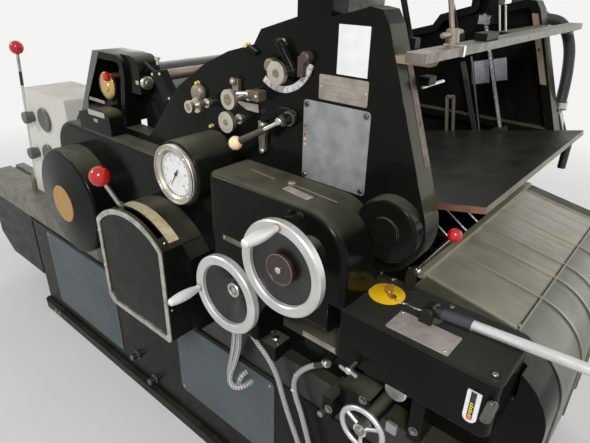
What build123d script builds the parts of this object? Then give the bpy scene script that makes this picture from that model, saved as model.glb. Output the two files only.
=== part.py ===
from build123d import *
import math
import os

# Cylinder letterpress, a cast-iron floor machine. X runs along the machine with the delivery at +X,
# the operator stands at -Y, Z is up, and the origin is the middle of the base on the floor.
# All sizes are in millimetres.

# Running and seating gaps
seat_gap = 0.3
running_gap = 0.3
joint_gap = 6.0

# Base casting
base_length = 2300.0
base_half_width = 532.0
base_height = 545.0
base_corner = 20.0
plinth_height = 45.0
plinth_step = 22.0
plinth_corner = 30.0
panel_thickness = 3.0
panel_corner = 18.0
panel_top_gap = 25.0
left_panel_x = (-985.0, -400.0)
left_panel_bottom_z = 110.0
right_panel_x = (33.0, 529.0)
right_panel_bottom_z = 178.0

# Bed rails and the overhanging bed extension at the left
bed_left_x = -1640.0
rail_right_x = 1130.0
rail_height = 110.0
rail_width = 200.0
rail_groove_width = 26.0
rail_groove_depth = 14.0
rail_groove_inset = 45.0
rail_top_z = base_height + rail_height
extension_floor_gap = 200.0
extension_chamfer_x = 120.0
extension_chamfer_z = 90.0
bed_plate_left_x = -1250.0
bed_plate_right_x = 250.0
bed_plate_thickness = 50.0
forme_margin_x = 150.0
forme_margin_y = 50.0
forme_thickness = 24.0

# Side frames, with a horn at the top and a right edge that leans with the feeder
frame_inset = 38.0
frame_outer_y = base_half_width - frame_inset
frame_thickness = 62.0
frame_inner_y = frame_outer_y - frame_thickness
frame_web = 24.0
frame_rim = 26.0
frame_rib = 24.0
frame_left_x = -560.0
frame_left_chamfer = 50.0
frame_shoulder_z = rail_top_z + 525.0
frame_rise = ((-60.0, 0.0), (114.0, 0.465), (238.0, 0.66), (330.0, 0.761), (423.0, 0.825),
              (447.0, 0.916), (557.0, 1.0))
horn_top_z = rail_top_z + 1045.0
horn_height = 126.0
horn_foot_z = horn_top_z - horn_height
horn_left_x = 557.0
horn_right_x = 648.0
horn_left_chamfer = 30.0
horn_right_chamfer = 20.0
feeder_lean = 19.3
lean_foot_x = 928.0
lean_foot_z = rail_top_z + 514.0
frame_corner_x = 792.0
frame_low_right_x = 780.0
frame_corner_z = rail_top_z + 510.0

# Gear casing on the operator side: a set-back part along the frame and a proud part at the right
casing_depth = 138.0
casing_back_depth = 66.0
casing_left_x = -588.0
casing_step_x = 380.0
casing_right_x = 820.0
casing_top_z = rail_top_z + 555.0
casing_back_top_z = rail_top_z + 503.0
casing_bottom_z = rail_top_z + 45.0
casing_neck_bottom_z = rail_top_z + 105.0
casing_arm_left_x = 550.0
casing_arm_bottom_z = rail_top_z + 260.0
casing_left_radius = 115.0
casing_right_radius = 115.0
casing_step_radius = 28.0
casing_neck_radius = 100.0
casing_edge_radius = 16.0
casing_front_y = -(frame_outer_y + casing_depth)
casing_back_front_y = -(frame_outer_y + casing_back_depth)

# Small covered bearing on top of the set-back part
top_cover_left_x = -400.0
top_cover_right_x = -198.0
top_cover_height = 80.0
top_cover_drop = 27.0
top_cover_radius = 46.0
top_cover_depth = 56.0

# Drum-shaped gear cover with its cap
gear_cover_x = -405.0
gear_cover_z = rail_top_z + 232.0
gear_cover_radius = 200.0
gear_cover_depth = 154.0
gear_cone_depth = 17.0
gear_cone_radius = 76.0
gear_rim_radius = 12.0
gear_cap_radius = 70.0
gear_cap_thickness = 3.0

# Plate cover with its curved scale and the speed lever, whose pin is at the middle of the arch
cover_depth = 140.0
cover_wall = 8.0
cover_left_x = -92.0
cover_right_x = 258.0
cover_bottom_z = rail_top_z - 25.0
cover_left_chamfer = 24.0
cover_right_chamfer = 11.0
cover_arch_x = 87.0
cover_arch_z = rail_top_z + 123.0
cover_arch_radius = 246.0
cover_border = 18.0
cover_border_height = 4.0
cover_front_y = casing_back_front_y - cover_depth
cover_shoulder_depth = 72.0
cover_shoulder_left_x = 243.0
cover_shoulder_right_x = 291.0
cover_shoulder_drop = 53.0
scale_band_thickness = 3.0
scale_band_width = 34.0
scale_band_setback = 32.0
scale_band_angles = (-17.0, 40.0)
speed_slot_width = 20.0
speed_slot_y = cover_front_y + speed_slot_width
speed_slot_angles = (-20.0, 34.0)
speed_rest_angle = -12.5
speed_arm_width = 14.0
speed_arm_thickness = 8.0
speed_stem_radius = 7.0
speed_ball_reach = 352.0
speed_forward = 40.0
speed_ball_radius = 30.0
speed_hub_radius = 16.0

# Pressure gauge
gauge_x = 268.0
gauge_z = rail_top_z + 519.0
gauge_radius = 82.0
gauge_barrel_radius = 90.0
gauge_face_radius = 62.0
gauge_proud = 14.0
gauge_seat_y = casing_front_y - 2

# Handwheels
wheel_plane_y = casing_front_y - 100.0
large_wheel_x = 731.0
large_wheel_z = rail_top_z + 463.0
large_wheel_radius = 108.0
large_wheel_dish = 4.0
small_wheel_x = 557.0
small_wheel_z = rail_top_z + 318.0
small_wheel_radius = 101.0
small_wheel_dish = 34.0
wheel_rim_width = 24.0
wheel_rim_depth = 20.0
wheel_rim_edge = 3.0
wheel_web = 8.0
wheel_hub_radius = 26.0
wheel_hub_length = 32.0
wheel_shaft_radius = 12.0
wheel_flange_radius = 36.0
handle_length = 92.0
handle_radius = 13.0
lower_wheel_x = 918.0
lower_wheel_z = rail_top_z + 89.0
lower_wheel_y = -(frame_outer_y + 170.0)
lower_wheel_radius = 60.0
lower_rim_radius = 7.0
lower_hub_radius = 17.0
lower_shaft_radius = 7.0

# Bearing boss of the feeder shaft on the side frames
boss_x = 845.0
boss_z = rail_top_z + 510.0
boss_radius = 75.0
boss_height = 36.0
boss_cap_radius = 34.0

# Impression cylinder and ink drum
cylinder_x = 250.0
cylinder_z = rail_top_z + 225.0
cylinder_radius = 200.0
cylinder_journal_radius = 45.0
cylinder_hub_radius = 95.0
gripper_gap_width = 120.0
gripper_gap_depth = 60.0
ink_drum_x = -300.0
ink_drum_z = rail_top_z + 650.0
ink_drum_radius = 55.0
ink_journal_radius = 16.0
ink_journal_length = 40.0
bearing_half_width = 34.0
hood_depth = 110.0
hood_wall = 22.0
hood_foot_z = frame_shoulder_z + 15.0
hood_top_z = frame_shoulder_z + 236.0

# White spray unit on the left rail
spray_front_y = -(frame_outer_y - 44.0)
spray_depth = 220.0
spray_bottom_left_x = -1198.0
spray_top_left_x = -1092.0
spray_right_x = -725.0
spray_top_z = rail_top_z + 525.0
knob_radius = 27.0
knob_neck = 3.0
knob_length = 42.0
knob_disc_radius = 53.0
knob_disc_length = 12.0

# Feeder
board_length = 560.0
board_half_width = frame_inner_y - 27.0
board_thickness = 15.0
board_edge_x = 1005.0
board_edge_z = rail_top_z + 576.0
board_slope = 11.5
spindle_radius = 7.0
spindle_y = frame_inner_y - 16.0
spindle_x = 748.0
spindle_z = rail_top_z + 518.0
spindle_low_z = rail_top_z + 393.0
spindle_high_z = horn_foot_z - 22.0
lug_length = 46.0
lug_width = 40.0
lug_outer_y = frame_inner_y - 5.0
crossbar_width = 40.0
crossbar_thickness = 17.0
crossbar_x = 880.0
crossbar_z = horn_foot_z - 54.0
crossbar_near_y = -(frame_outer_y + 66.0)
crossbar_far_y = frame_outer_y + 24.0
bracket_thickness = 8.0
bracket_width = 18.0
bracket_low_z = rail_top_z + 694.0
clamp_thickness = 14.0
clamp_width = 26.0
tie_bar_radius = 14.0
tie_bar_x = 712.0
tie_bar_z = horn_foot_z + 54.0
saddle_half_width = 22.0
head_bar_radius = 20.0
head_bar_x = 600.0
head_bar_z = horn_top_z - 60.0
hanger_radius = 8.0
hanger_foot_z = crossbar_z - 20.0
hanger_y = 140.0
hose_y = frame_outer_y + 51.0
hose_radius = 19.0
hose_socket_x = 775.0
hose_socket_z = horn_foot_z - 32.0
collar_x = 888.0
collar_z = rail_top_z + 627.0
collar_radius = 23.0
valve_x = 945.0
valve_z = rail_top_z + 442.0

# Delivery guard and its round nose
guard_near_y = -(frame_outer_y - 134.0)
guard_far_y = frame_outer_y - 94.0
guard_sheet = 3.0
guard_top_x = 880.0
guard_top_z = rail_top_z + 337.0
guard_seam_x = 1117.0
guard_seam_z = rail_top_z + 292.0
nose_radius = 155.0
nose_bottom_z = rail_top_z - 15.0
cheek_outer_y = frame_outer_y - 24.0
near_cheek_thickness = 125.0
far_cheek_thickness = 85.0
ridge_height = 4.0
ridge_width = 9.0
ridge_places = (-194.5, -71.5, 19.5, 164.5)

# Control box with the feed lever and the delivery lever on its lid
control_left_x = 786.0
control_right_x = 1161.0
control_front_y = -(frame_outer_y + 117.0)
control_back_y = -(frame_outer_y - 59.0)
control_bottom_z = rail_top_z + 195.0
control_top_z = rail_top_z + 345.0
control_corner = 22.0
lid_thickness = 14.0
lid_overhang = 4.0
lid_edge_radius = 5.0
lever_pivot_x = 975.0
lever_pivot_z = control_top_z + 20.0
lever_y = -(frame_outer_y + 26.0)
lever_end_x = 1390.0
lever_rise = 3.8
lever_radius = 11.0
lever_sleeve_radius = 13.0
lever_sleeve_length = 88.0
lever_hub_radius = 14.0
delivery_pivot_x = 888.0
delivery_pivot_z = control_top_z + 45.0
delivery_y = -(frame_outer_y - 49.0)
delivery_ball_x = 966.0
delivery_ball_z = control_top_z + 168.0
delivery_ball_radius = 15.5

# Throw-off and trip levers
pin_radius = 8.0
throw_pivot_x = -1224.0
throw_pivot_z = rail_top_z + 45.0
throw_y = -(frame_outer_y - 58.0)
throw_ball_x = -1113.0
throw_ball_z = rail_top_z + 692.0
throw_ball_radius = 29.0
throw_ear_radius = 22.0
trip_pivot_x = 548.0
trip_pivot_z = frame_shoulder_z + 171.0
trip_hub_y = -(frame_outer_y + 26.0)
trip_hub_radius = 14.0
trip_ball_x = 430.0
trip_ball_y = -(frame_outer_y + 76.0)
trip_ball_z = frame_shoulder_z + 100.0
trip_ball_radius = 17.5

# Adjusting knobs, quadrant scale and register ledge on the near frame
quadrant_x = 514.0
quadrant_z = frame_shoulder_z + 323.0
quadrant_radius = 97.0
quadrant_width = 15.0
quadrant_thickness = 4.0
quadrant_angles = (-127.0, -15.0)
adjuster_shaft_radius = 7.0
adjuster_collar_radius = 13.0
adjuster_head = 12.0
ledge_left_x = 600.0
ledge_right_x = 778.0
ledge_bottom_z = rail_top_z + 157.0
ledge_front_height = 24.0
ledge_back_height = 68.0
ledge_depth = 81.0

# Conduits on the front of the base
conduit_y = -(base_half_width + 30.0)
conduit_radius = 8.0
sleeve_radius = 9.0


# General shapes

def block(x_low, x_high, y_low, y_high, z_low, z_high):
    """Straight block between its lowest and highest corners."""
    size = (x_high - x_low, y_high - y_low, z_high - z_low)
    middle = ((x_low + x_high) / 2, (y_low + y_high) / 2, (z_low + z_high) / 2)
    return Pos(*middle) * Box(*size)


def slab(sketch, y_low, y_high):
    """Profile drawn in X and Z, given its thickness along Y."""
    return extrude(Plane.XZ.offset(-y_low) * sketch, amount=-(y_high - y_low))


def disc(x, z, radius, y_low, y_high):
    """Round bar along Y."""
    middle = Pos(x, (y_low + y_high) / 2, z)
    return middle * Rot(90, 0, 0) * Cylinder(radius, y_high - y_low)


def turned(x, z, points):
    """Solid turned about a line along Y, from (radius, y) points given in order."""
    profile = make_face(Polyline(*[(r, y, 0) for r, y in points], close=True))
    return Pos(x, 0, z) * revolve(profile, Axis.Y, 360)


def rod(start, end, radius):
    """Round bar from one point to another."""
    direction = Vector(*end) - Vector(*start)
    plane = Plane(origin=start, z_dir=direction)
    return extrude(plane * Circle(radius), amount=direction.length)


def ball(centre, radius):
    """Round knob."""
    return Pos(*centre) * Sphere(radius)


def polygon(points):
    """Flat face from straight runs."""
    return make_face(Polyline(*points, close=True))


def arc_band(x, z, inner, outer, first, last):
    """Band between two radii, from one angle to another in degrees from the X axis."""
    angles = [math.radians(angle) for angle in (first, (first + last) / 2, last)]

    def edge_points(radius):
        """Start, middle and end of one curved edge."""
        return [(x + radius * math.cos(angle), z + radius * math.sin(angle)) for angle in angles]

    low = edge_points(inner)
    high = edge_points(outer)
    with BuildSketch() as sketch:
        with BuildLine():
            ThreePointArc(*low)
            Line(low[2], high[2])
            ThreePointArc(*high)
            Line(high[0], low[0])
        make_face()
    return sketch.sketch


def rounded(solid, axis, radius):
    """Rounds the edges of a solid that run along an axis."""
    return fillet(solid.edges().filter_by(axis), radius)


def corner_near(sketch, x, z):
    """Corner of a profile that is nearest to a point."""
    return sketch.vertices().sort_by_distance((x, z, 0))[0]


def across(solid):
    """Mirror image on the other side of the machine."""
    return mirror(solid, about=Plane.XZ)


parts = {}


def save(name, solid):
    """Keeps one named piece."""
    parts[name] = solid


lean = math.radians(feeder_lean)
lean_up = Vector(-math.sin(lean), 0, math.cos(lean))


def on_lean(x, z, height):
    """Point on a line that leans with the feeder, at a given height."""
    return x - (height - z) * math.tan(lean)


def lean_edge_x(height):
    """Place of the frames' leaning right edge at a given height."""
    return on_lean(lean_foot_x, lean_foot_z, height)


# Base

def make_base():
    """Cast base, modelled closed, with a plinth step."""
    half_length = base_length / 2
    body = block(-half_length, half_length, -base_half_width, base_half_width, 0, base_height)
    plinth = block(-half_length - plinth_step, half_length + plinth_step, -base_half_width - plinth_step,
                   base_half_width + plinth_step, 0, plinth_height)
    return rounded(body, Axis.Z, base_corner) + rounded(plinth, Axis.Z, plinth_corner)


def make_panel(x_range, z_low):
    """Sheet panel on the face of the base."""
    x_low, x_high = x_range
    z_high = base_height - panel_top_gap
    outline = Rectangle(x_high - x_low, z_high - z_low)
    outline = fillet(outline.vertices(), panel_corner)
    face = Pos((x_low + x_high) / 2, (z_low + z_high) / 2) * outline
    return slab(face, -base_half_width - panel_thickness, -base_half_width)


save("base_frame", make_base())
left_panel = make_panel(left_panel_x, left_panel_bottom_z)
right_panel = make_panel(right_panel_x, right_panel_bottom_z)
save("base_panels", Compound(children=[left_panel, right_panel, across(left_panel), across(right_panel)]))


# Bed

def make_rail():
    """Bed rail on the near side, with the groove along its top."""
    inner_y = -base_half_width + rail_width
    rail = block(bed_left_x, rail_right_x, -base_half_width, inner_y, base_height, rail_top_z)
    groove_y = inner_y - rail_groove_inset
    groove = block(bed_left_x, rail_right_x, groove_y - rail_groove_width, groove_y,
                   rail_top_z - rail_groove_depth, rail_top_z)
    return rail - groove


def make_extension():
    """Overhanging left end that carries the bed's run-out, with its lower edge rising to the end."""
    inner_x = -base_length / 2
    outline = polygon([
        (inner_x, extension_floor_gap),
        (bed_left_x + extension_chamfer_x, extension_floor_gap),
        (bed_left_x, extension_floor_gap + extension_chamfer_z),
        (bed_left_x, base_height),
        (inner_x, base_height)])
    return slab(outline, -base_half_width, base_half_width)


def make_type_bed():
    """Type bed between the rails, with the forme standing on it."""
    half_width = base_half_width - rail_width
    plate_top_z = base_height + bed_plate_thickness
    plate = block(bed_plate_left_x, bed_plate_right_x, -half_width, half_width, base_height, plate_top_z)
    forme = block(bed_plate_left_x + forme_margin_x, bed_plate_right_x - forme_margin_x,
                  -half_width + forme_margin_y, half_width - forme_margin_y,
                  plate_top_z, plate_top_z + forme_thickness)
    return plate + forme


near_rail = make_rail()
save("bed_rails", Compound(children=[near_rail, across(near_rail)]))
save("bed_extension", make_extension())
save("type_bed", make_type_bed())


# Side frames

def frame_outline():
    """Outline of a side frame with its sloping left edge, horn, leaning right edge and round corner."""
    rise = horn_foot_z - frame_shoulder_z
    corner_x = lean_edge_x(horn_foot_z)
    edge_reach = (lean_edge_x(frame_corner_z) - frame_corner_x) * math.cos(lean)
    points = [
        (frame_low_right_x, frame_corner_z - edge_reach),
        (frame_low_right_x, rail_top_z),
        (frame_left_x, rail_top_z),
        (frame_left_x, frame_shoulder_z - frame_left_chamfer),
        (frame_left_x + frame_left_chamfer, frame_shoulder_z)]
    points += [(x, frame_shoulder_z + share * rise) for x, share in frame_rise]
    points += [
        (horn_left_x, horn_top_z - horn_left_chamfer),
        (horn_left_x + horn_left_chamfer, horn_top_z),
        (horn_right_x - horn_right_chamfer, horn_top_z),
        (horn_right_x, horn_top_z - horn_right_chamfer),
        (horn_right_x, horn_foot_z + 4),
        (corner_x - 45, horn_foot_z + 29),
        (corner_x - 17, horn_foot_z + 25),
        (corner_x, horn_foot_z)]
    arc_points = [
        (frame_corner_x + edge_reach * math.cos(angle), frame_corner_z + edge_reach * math.sin(angle))
        for angle in (lean, (lean - math.pi / 2) / 2, -math.pi / 2)]
    with BuildSketch() as sketch:
        with BuildLine():
            Polyline(arc_points[2], *points, arc_points[0])
            ThreePointArc(*arc_points)
        make_face()
    return sketch.sketch


def make_side_frame():
    """Near side frame: a flat outer face, a deep rim and a thinner web seen from inside."""
    outline = frame_outline()
    web_y = -frame_outer_y + frame_web
    plate = slab(outline, -frame_outer_y, -frame_inner_y)
    pocket_face = offset(outline, -frame_rim)
    frame = plate - slab(pocket_face, web_y, -frame_inner_y)
    half_rib = frame_rib / 2
    upright = block(cylinder_x - half_rib, cylinder_x + half_rib, web_y, -frame_inner_y,
                    cylinder_z, horn_foot_z)
    level = block(frame_left_x, lean_edge_x(frame_shoulder_z), web_y, -frame_inner_y,
                  frame_shoulder_z, frame_shoulder_z + frame_rib)
    frame += (upright & plate)
    frame += (level & plate)
    hub = disc(cylinder_x, cylinder_z, cylinder_hub_radius, web_y, -frame_inner_y)
    journal_room = disc(cylinder_x, cylinder_z, cylinder_journal_radius + running_gap,
                        -frame_outer_y + joint_gap, -frame_inner_y)
    return frame + hub - journal_room


near_frame = make_side_frame()
save("side_frame_near", near_frame)
save("side_frame_far", across(near_frame))


# Cylinder between the frames

def make_cylinder():
    """Impression cylinder with its journals in the side frames and its gripper gap."""
    length = frame_inner_y - 2 * joint_gap
    reach = frame_outer_y - 2 * joint_gap
    drum = turned(cylinder_x, cylinder_z, [
        (0, -reach), (cylinder_journal_radius, -reach), (cylinder_journal_radius, -length),
        (cylinder_radius, -length), (cylinder_radius, length), (cylinder_journal_radius, length),
        (cylinder_journal_radius, reach), (0, reach)])
    low_z = cylinder_z - cylinder_radius
    gap = block(cylinder_x - gripper_gap_width / 2, cylinder_x + gripper_gap_width / 2,
                -length + forme_margin_y, length - forme_margin_y, low_z - 1, low_z + gripper_gap_depth)
    return drum - gap


save("impression_cylinder", make_cylinder())


# Gear casing

def proud_outline():
    """Outline of the casing's proud part, with its raised arm at the right."""
    round_z = casing_top_z - casing_right_radius
    arm_x = casing_arm_left_x + casing_neck_radius
    neck_z = casing_arm_bottom_z - casing_neck_radius
    with BuildSketch() as sketch:
        with BuildLine():
            Polyline((casing_arm_left_x, neck_z), (casing_arm_left_x, casing_neck_bottom_z),
                     (casing_step_x, casing_neck_bottom_z), (casing_step_x, casing_top_z),
                     (casing_right_x - casing_right_radius, casing_top_z))
            CenterArc((casing_right_x - casing_right_radius, round_z), casing_right_radius, 0, 90)
            Polyline((casing_right_x, round_z), (casing_right_x, casing_arm_bottom_z),
                     (arm_x, casing_arm_bottom_z))
            CenterArc((arm_x, neck_z), casing_neck_radius, 90, 90)
        make_face()
    return sketch.sketch


def set_back_outline(lower_left):
    """Outline of the casing's set-back part, rounded at its upper left, with its lower left corners."""
    round_x = casing_left_x + casing_left_radius
    round_z = casing_back_top_z - casing_left_radius
    right_x = casing_step_x + casing_step_radius
    with BuildSketch() as sketch:
        with BuildLine():
            Polyline((round_x, casing_back_top_z), (right_x, casing_back_top_z), (right_x, casing_bottom_z),
                     *lower_left, (casing_left_x, round_z))
            CenterArc((round_x, round_z), casing_left_radius, 90, 90)
        make_face()
    return sketch.sketch


def front_rounded(solid, radius):
    """Rounds the edges around the front face of a casting."""
    return fillet(solid.faces().sort_by(Axis.Y)[0].edges(), radius)


def make_proud_part():
    """Proud part of the casing with soft edges all round its front and along its left end."""
    solid = slab(proud_outline(), casing_front_y, -frame_outer_y)
    left_edges = solid.edges().filter_by(Axis.Z).group_by(Axis.X)[0].group_by(Axis.Y)[0]
    solid = fillet(left_edges, casing_step_radius)
    return front_rounded(solid, casing_edge_radius)


def make_top_cover():
    """Small cover on the set-back part, rounded at its upper right."""
    top_z = casing_back_top_z + top_cover_height
    outline = polygon([
        (top_cover_left_x, casing_back_top_z - casing_edge_radius),
        (top_cover_left_x, top_z - top_cover_drop),
        (top_cover_right_x - 2 * top_cover_radius, top_z),
        (top_cover_right_x, top_z),
        (top_cover_right_x, casing_back_top_z - casing_edge_radius)])
    outline = fillet(corner_near(outline, top_cover_right_x, top_z), top_cover_radius)
    return slab(outline, -frame_outer_y - top_cover_depth, -frame_outer_y)


def make_casing(lower_left):
    """Whole casing on the near side, with its set-back part's lower left corners."""
    set_back = slab(set_back_outline(lower_left), casing_back_front_y, -frame_outer_y)
    return front_rounded(set_back, casing_edge_radius) + make_proud_part() + make_top_cover()


gear_casing = make_casing([
    (gear_cover_x, casing_bottom_z), (gear_cover_x, gear_cover_z), (casing_left_x, gear_cover_z)])
round_room = disc(gear_cover_x, gear_cover_z, gear_cover_radius + seat_gap,
                  casing_front_y, -frame_outer_y)
gauge_room = disc(gauge_x, gauge_z, gauge_barrel_radius + seat_gap, casing_front_y, -frame_outer_y)
box_room = block(control_left_x - lid_overhang - seat_gap, casing_right_x + 1, casing_front_y - 1,
                 -frame_outer_y, casing_arm_bottom_z - 1, control_top_z + 3)
save("gear_casing", gear_casing - round_room - gauge_room - box_room)
save("drive_casing", across(make_casing([(casing_left_x, casing_bottom_z)])))


def make_gear_cover():
    """Drum over the gear at the left, with a rolled rim and a shallow cone for its front."""
    rim_y = -frame_outer_y - gear_cover_depth
    cover = turned(gear_cover_x, gear_cover_z, [
        (0, -frame_outer_y), (gear_cover_radius, -frame_outer_y), (gear_cover_radius, rim_y),
        (gear_cone_radius, rim_y - gear_cone_depth), (0, rim_y - gear_cone_depth)])
    rim = cover.edges().filter_by(GeomType.CIRCLE).group_by(SortBy.RADIUS)[-1].group_by(Axis.Y)[0]
    return fillet(rim, gear_rim_radius)


cap_seat_y = -frame_outer_y - gear_cover_depth - gear_cone_depth
save("gear_cover", make_gear_cover())
save("gear_cover_cap", turned(gear_cover_x, gear_cover_z, [
    (0, cap_seat_y),
    (gear_cap_radius, cap_seat_y),
    (gear_cap_radius, cap_seat_y - gear_cap_thickness + 1),
    (gear_cap_radius - 1, cap_seat_y - gear_cap_thickness),
    (0, cap_seat_y - gear_cap_thickness)]))


# Plate cover

def arch_height(x, radius):
    """Height of the cover's arch above a place along the machine."""
    return cover_arch_z + math.sqrt(radius ** 2 - (x - cover_arch_x) ** 2)


def cover_outline(inset):
    """Outline of the plate cover, drawn in by the given inset."""
    left = cover_left_x + inset
    right = cover_right_x - inset
    bottom = cover_bottom_z + inset
    radius = cover_arch_radius - inset
    left_top = (left, arch_height(left, radius))
    right_top = (right, arch_height(right, radius))
    with BuildSketch() as sketch:
        with BuildLine():
            Polyline(left_top, (left, bottom + cover_left_chamfer), (left + cover_left_chamfer, bottom),
                     (right - cover_right_chamfer, bottom), (right, bottom + cover_right_chamfer), right_top)
            ThreePointArc(right_top, (cover_arch_x, cover_arch_z + radius), left_top)
        make_face()
    return sketch.sketch


def make_cover_shoulder():
    """Wider rear part of the cover at the right, which runs on from the arch."""
    back_y = casing_back_front_y
    top_z = arch_height(cover_shoulder_left_x, cover_arch_radius)
    bottom_z = cover_bottom_z + cover_left_chamfer
    outline = polygon([
        (cover_shoulder_left_x, top_z), (cover_shoulder_right_x, top_z - cover_shoulder_drop),
        (cover_shoulder_right_x, bottom_z), (cover_shoulder_left_x, bottom_z)])
    return slab(outline, back_y - cover_shoulder_depth, back_y)


def make_plate_cover():
    """Hollow cover with a raised border on its front and a slot along its arch for the speed lever."""
    cover = slab(cover_outline(0), cover_front_y, casing_back_front_y) + make_cover_shoulder()
    inside = slab(cover_outline(cover_wall), cover_front_y + cover_wall, casing_back_front_y)
    first, last = speed_slot_angles
    slot = slab(arc_band(cover_arch_x, cover_arch_z, cover_arch_radius / 2, cover_arch_radius + 1,
                         90 - first, 90 - last),
                speed_slot_y - speed_slot_width / 2, speed_slot_y + speed_slot_width / 2)
    border = slab(cover_outline(1) - cover_outline(cover_border),
                  cover_front_y - cover_border_height, cover_front_y)
    return cover - inside - slot + border


def make_scale_band():
    """Curved graduated band on the arch, behind the lever's slot."""
    first, last = scale_band_angles
    face = arc_band(cover_arch_x, cover_arch_z, cover_arch_radius,
                    cover_arch_radius + scale_band_thickness, 90 - first, 90 - last)
    front = cover_front_y + scale_band_setback
    return slab(face, front, front + scale_band_width)


save("plate_cover", make_plate_cover())
save("speed_scale", make_scale_band())


# Speed lever

def make_speed_arm():
    """Flat arm on a pin behind the plate cover, with a round stem that leans to the operator."""
    angle = math.radians(90 - speed_rest_angle)
    outward = Vector(math.cos(angle), 0, math.sin(angle))
    pivot = Vector(cover_arch_x, speed_slot_y, cover_arch_z)
    arm_length = cover_arch_radius + speed_hub_radius
    plane = Plane(origin=pivot, x_dir=(0, 1, 0), z_dir=outward)
    arm = extrude(plane * Rectangle(speed_arm_thickness, speed_arm_width), amount=arm_length)
    half = speed_arm_thickness / 2 + 1
    eye = disc(pivot.X, pivot.Z, speed_hub_radius, speed_slot_y - half, speed_slot_y + half)
    eye_hole = disc(pivot.X, pivot.Z, pin_radius + running_gap, speed_slot_y - half, speed_slot_y + half)
    stem = rod(tuple(pivot + outward * (arm_length - speed_arm_width)), speed_ball_centre, speed_stem_radius)
    return arm + eye + stem - eye_hole


rest_angle = math.radians(90 - speed_rest_angle)
speed_ball_centre = (cover_arch_x + speed_ball_reach * math.cos(rest_angle), speed_slot_y - speed_forward,
                     cover_arch_z + speed_ball_reach * math.sin(rest_angle))
speed_ball = ball(speed_ball_centre, speed_ball_radius)
save("speed_lever", make_speed_arm() - speed_ball)
save("speed_lever_ball", speed_ball)


# Pressure gauge

def make_gauge_barrel():
    """Barrel that carries the gauge, seated on the side frame."""
    barrel = disc(gauge_x, gauge_z, gauge_barrel_radius, gauge_seat_y, -frame_outer_y)
    return fillet(barrel.edges().group_by(Axis.Y)[0], 6)


save("gauge_barrel", make_gauge_barrel())
save("gauge_bezel", turned(gauge_x, gauge_z, [
    (gauge_face_radius, gauge_seat_y),
    (gauge_radius, gauge_seat_y),
    (gauge_radius, gauge_seat_y - gauge_proud + 4),
    (gauge_radius - 4, gauge_seat_y - gauge_proud),
    (gauge_face_radius + 5, gauge_seat_y - gauge_proud),
    (gauge_face_radius, gauge_seat_y - gauge_proud + 5)]))
save("gauge_dial", disc(gauge_x, gauge_z, gauge_face_radius - seat_gap, gauge_seat_y - 4, gauge_seat_y))


# Handwheels

def make_handwheel(x, z, radius, dish):
    """Handwheel with a flat-faced rim, a web dished to the back and a bored hub."""
    back = wheel_plane_y + wheel_rim_depth / 2
    front = wheel_plane_y - wheel_rim_depth / 2
    inner = radius - wheel_rim_width
    edge = wheel_rim_edge
    hub_front = wheel_plane_y + dish
    bore = wheel_shaft_radius + running_gap
    rim = turned(x, z, [
        (inner, back - edge), (inner + edge, back), (radius - edge, back), (radius, back - edge),
        (radius, front + edge), (radius - edge, front), (inner + edge, front), (inner, front + edge)])
    web = turned(x, z, [
        (bore, hub_front + wheel_hub_length), (wheel_hub_radius, hub_front + wheel_hub_length),
        (wheel_hub_radius, hub_front + edge + wheel_web), (inner, wheel_plane_y + wheel_web),
        (inner, wheel_plane_y), (wheel_hub_radius, hub_front + edge),
        (wheel_hub_radius, hub_front), (bore, hub_front)])
    return rim + web


def make_handle(x, z, angle, radius):
    """Tapered handle that stands out of the wheel's rim towards the operator."""
    reach = radius - wheel_rim_width / 2
    handle_x = x + reach * math.cos(math.radians(angle))
    handle_z = z + reach * math.sin(math.radians(angle))
    root = wheel_plane_y - wheel_rim_depth / 2
    tip = root - handle_length
    with BuildSketch(Plane.XY) as profile:
        with BuildLine():
            Polyline((0, root), (8, root), (8, root - 10))
            Spline((8, root - 10), (handle_radius, root - handle_length * 0.6), (9, tip + 4))
            Polyline((9, tip + 4), (5, tip), (0, tip), (0, root))
        make_face()
    return Pos(handle_x, 0, handle_z) * revolve(profile.sketch, Axis.Y, 360)


def make_wheel_spindle(x, z, dish):
    """Spindle with its stepped flange on the front of the casing."""
    shoulder = wheel_plane_y + dish + wheel_hub_length + running_gap
    tip = wheel_plane_y + dish - 4
    flange_end = casing_front_y - 14
    neck = wheel_hub_radius + 4
    return turned(x, z, [
        (0, casing_front_y), (wheel_flange_radius, casing_front_y), (neck, flange_end), (neck, shoulder),
        (wheel_shaft_radius, shoulder), (wheel_shaft_radius, tip), (0, tip)])


def make_lower_wheel():
    """Small spoked handwheel under the control box."""
    rim_centre = lower_wheel_radius - lower_rim_radius
    centre = (lower_wheel_x, lower_wheel_y, lower_wheel_z)
    wheel = Pos(*centre) * Rot(90, 0, 0) * Torus(rim_centre, lower_rim_radius)
    wheel += disc(lower_wheel_x, lower_wheel_z, lower_hub_radius, lower_wheel_y - 10, lower_hub_back_y)
    for turn in (30, 150, 270):
        angle = math.radians(turn)
        spoke_end = (lower_wheel_x + rim_centre * math.cos(angle), lower_wheel_y,
                     lower_wheel_z + rim_centre * math.sin(angle))
        wheel += rod(centre, spoke_end, 5)
    return wheel - disc(lower_wheel_x, lower_wheel_z, lower_shaft_radius + running_gap,
                        lower_wheel_y - 11, lower_hub_back_y + 1)


def make_lower_spindle():
    """Stepped spindle of the lower handwheel on the near cheek."""
    shoulder = lower_hub_back_y + running_gap
    return turned(lower_wheel_x, lower_wheel_z, [
        (0, -cheek_outer_y), (34, -cheek_outer_y), (34, -cheek_outer_y - 14), (20, -cheek_outer_y - 24),
        (20, shoulder), (lower_shaft_radius, shoulder), (lower_shaft_radius, lower_wheel_y - 14),
        (0, lower_wheel_y - 14)])


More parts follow.
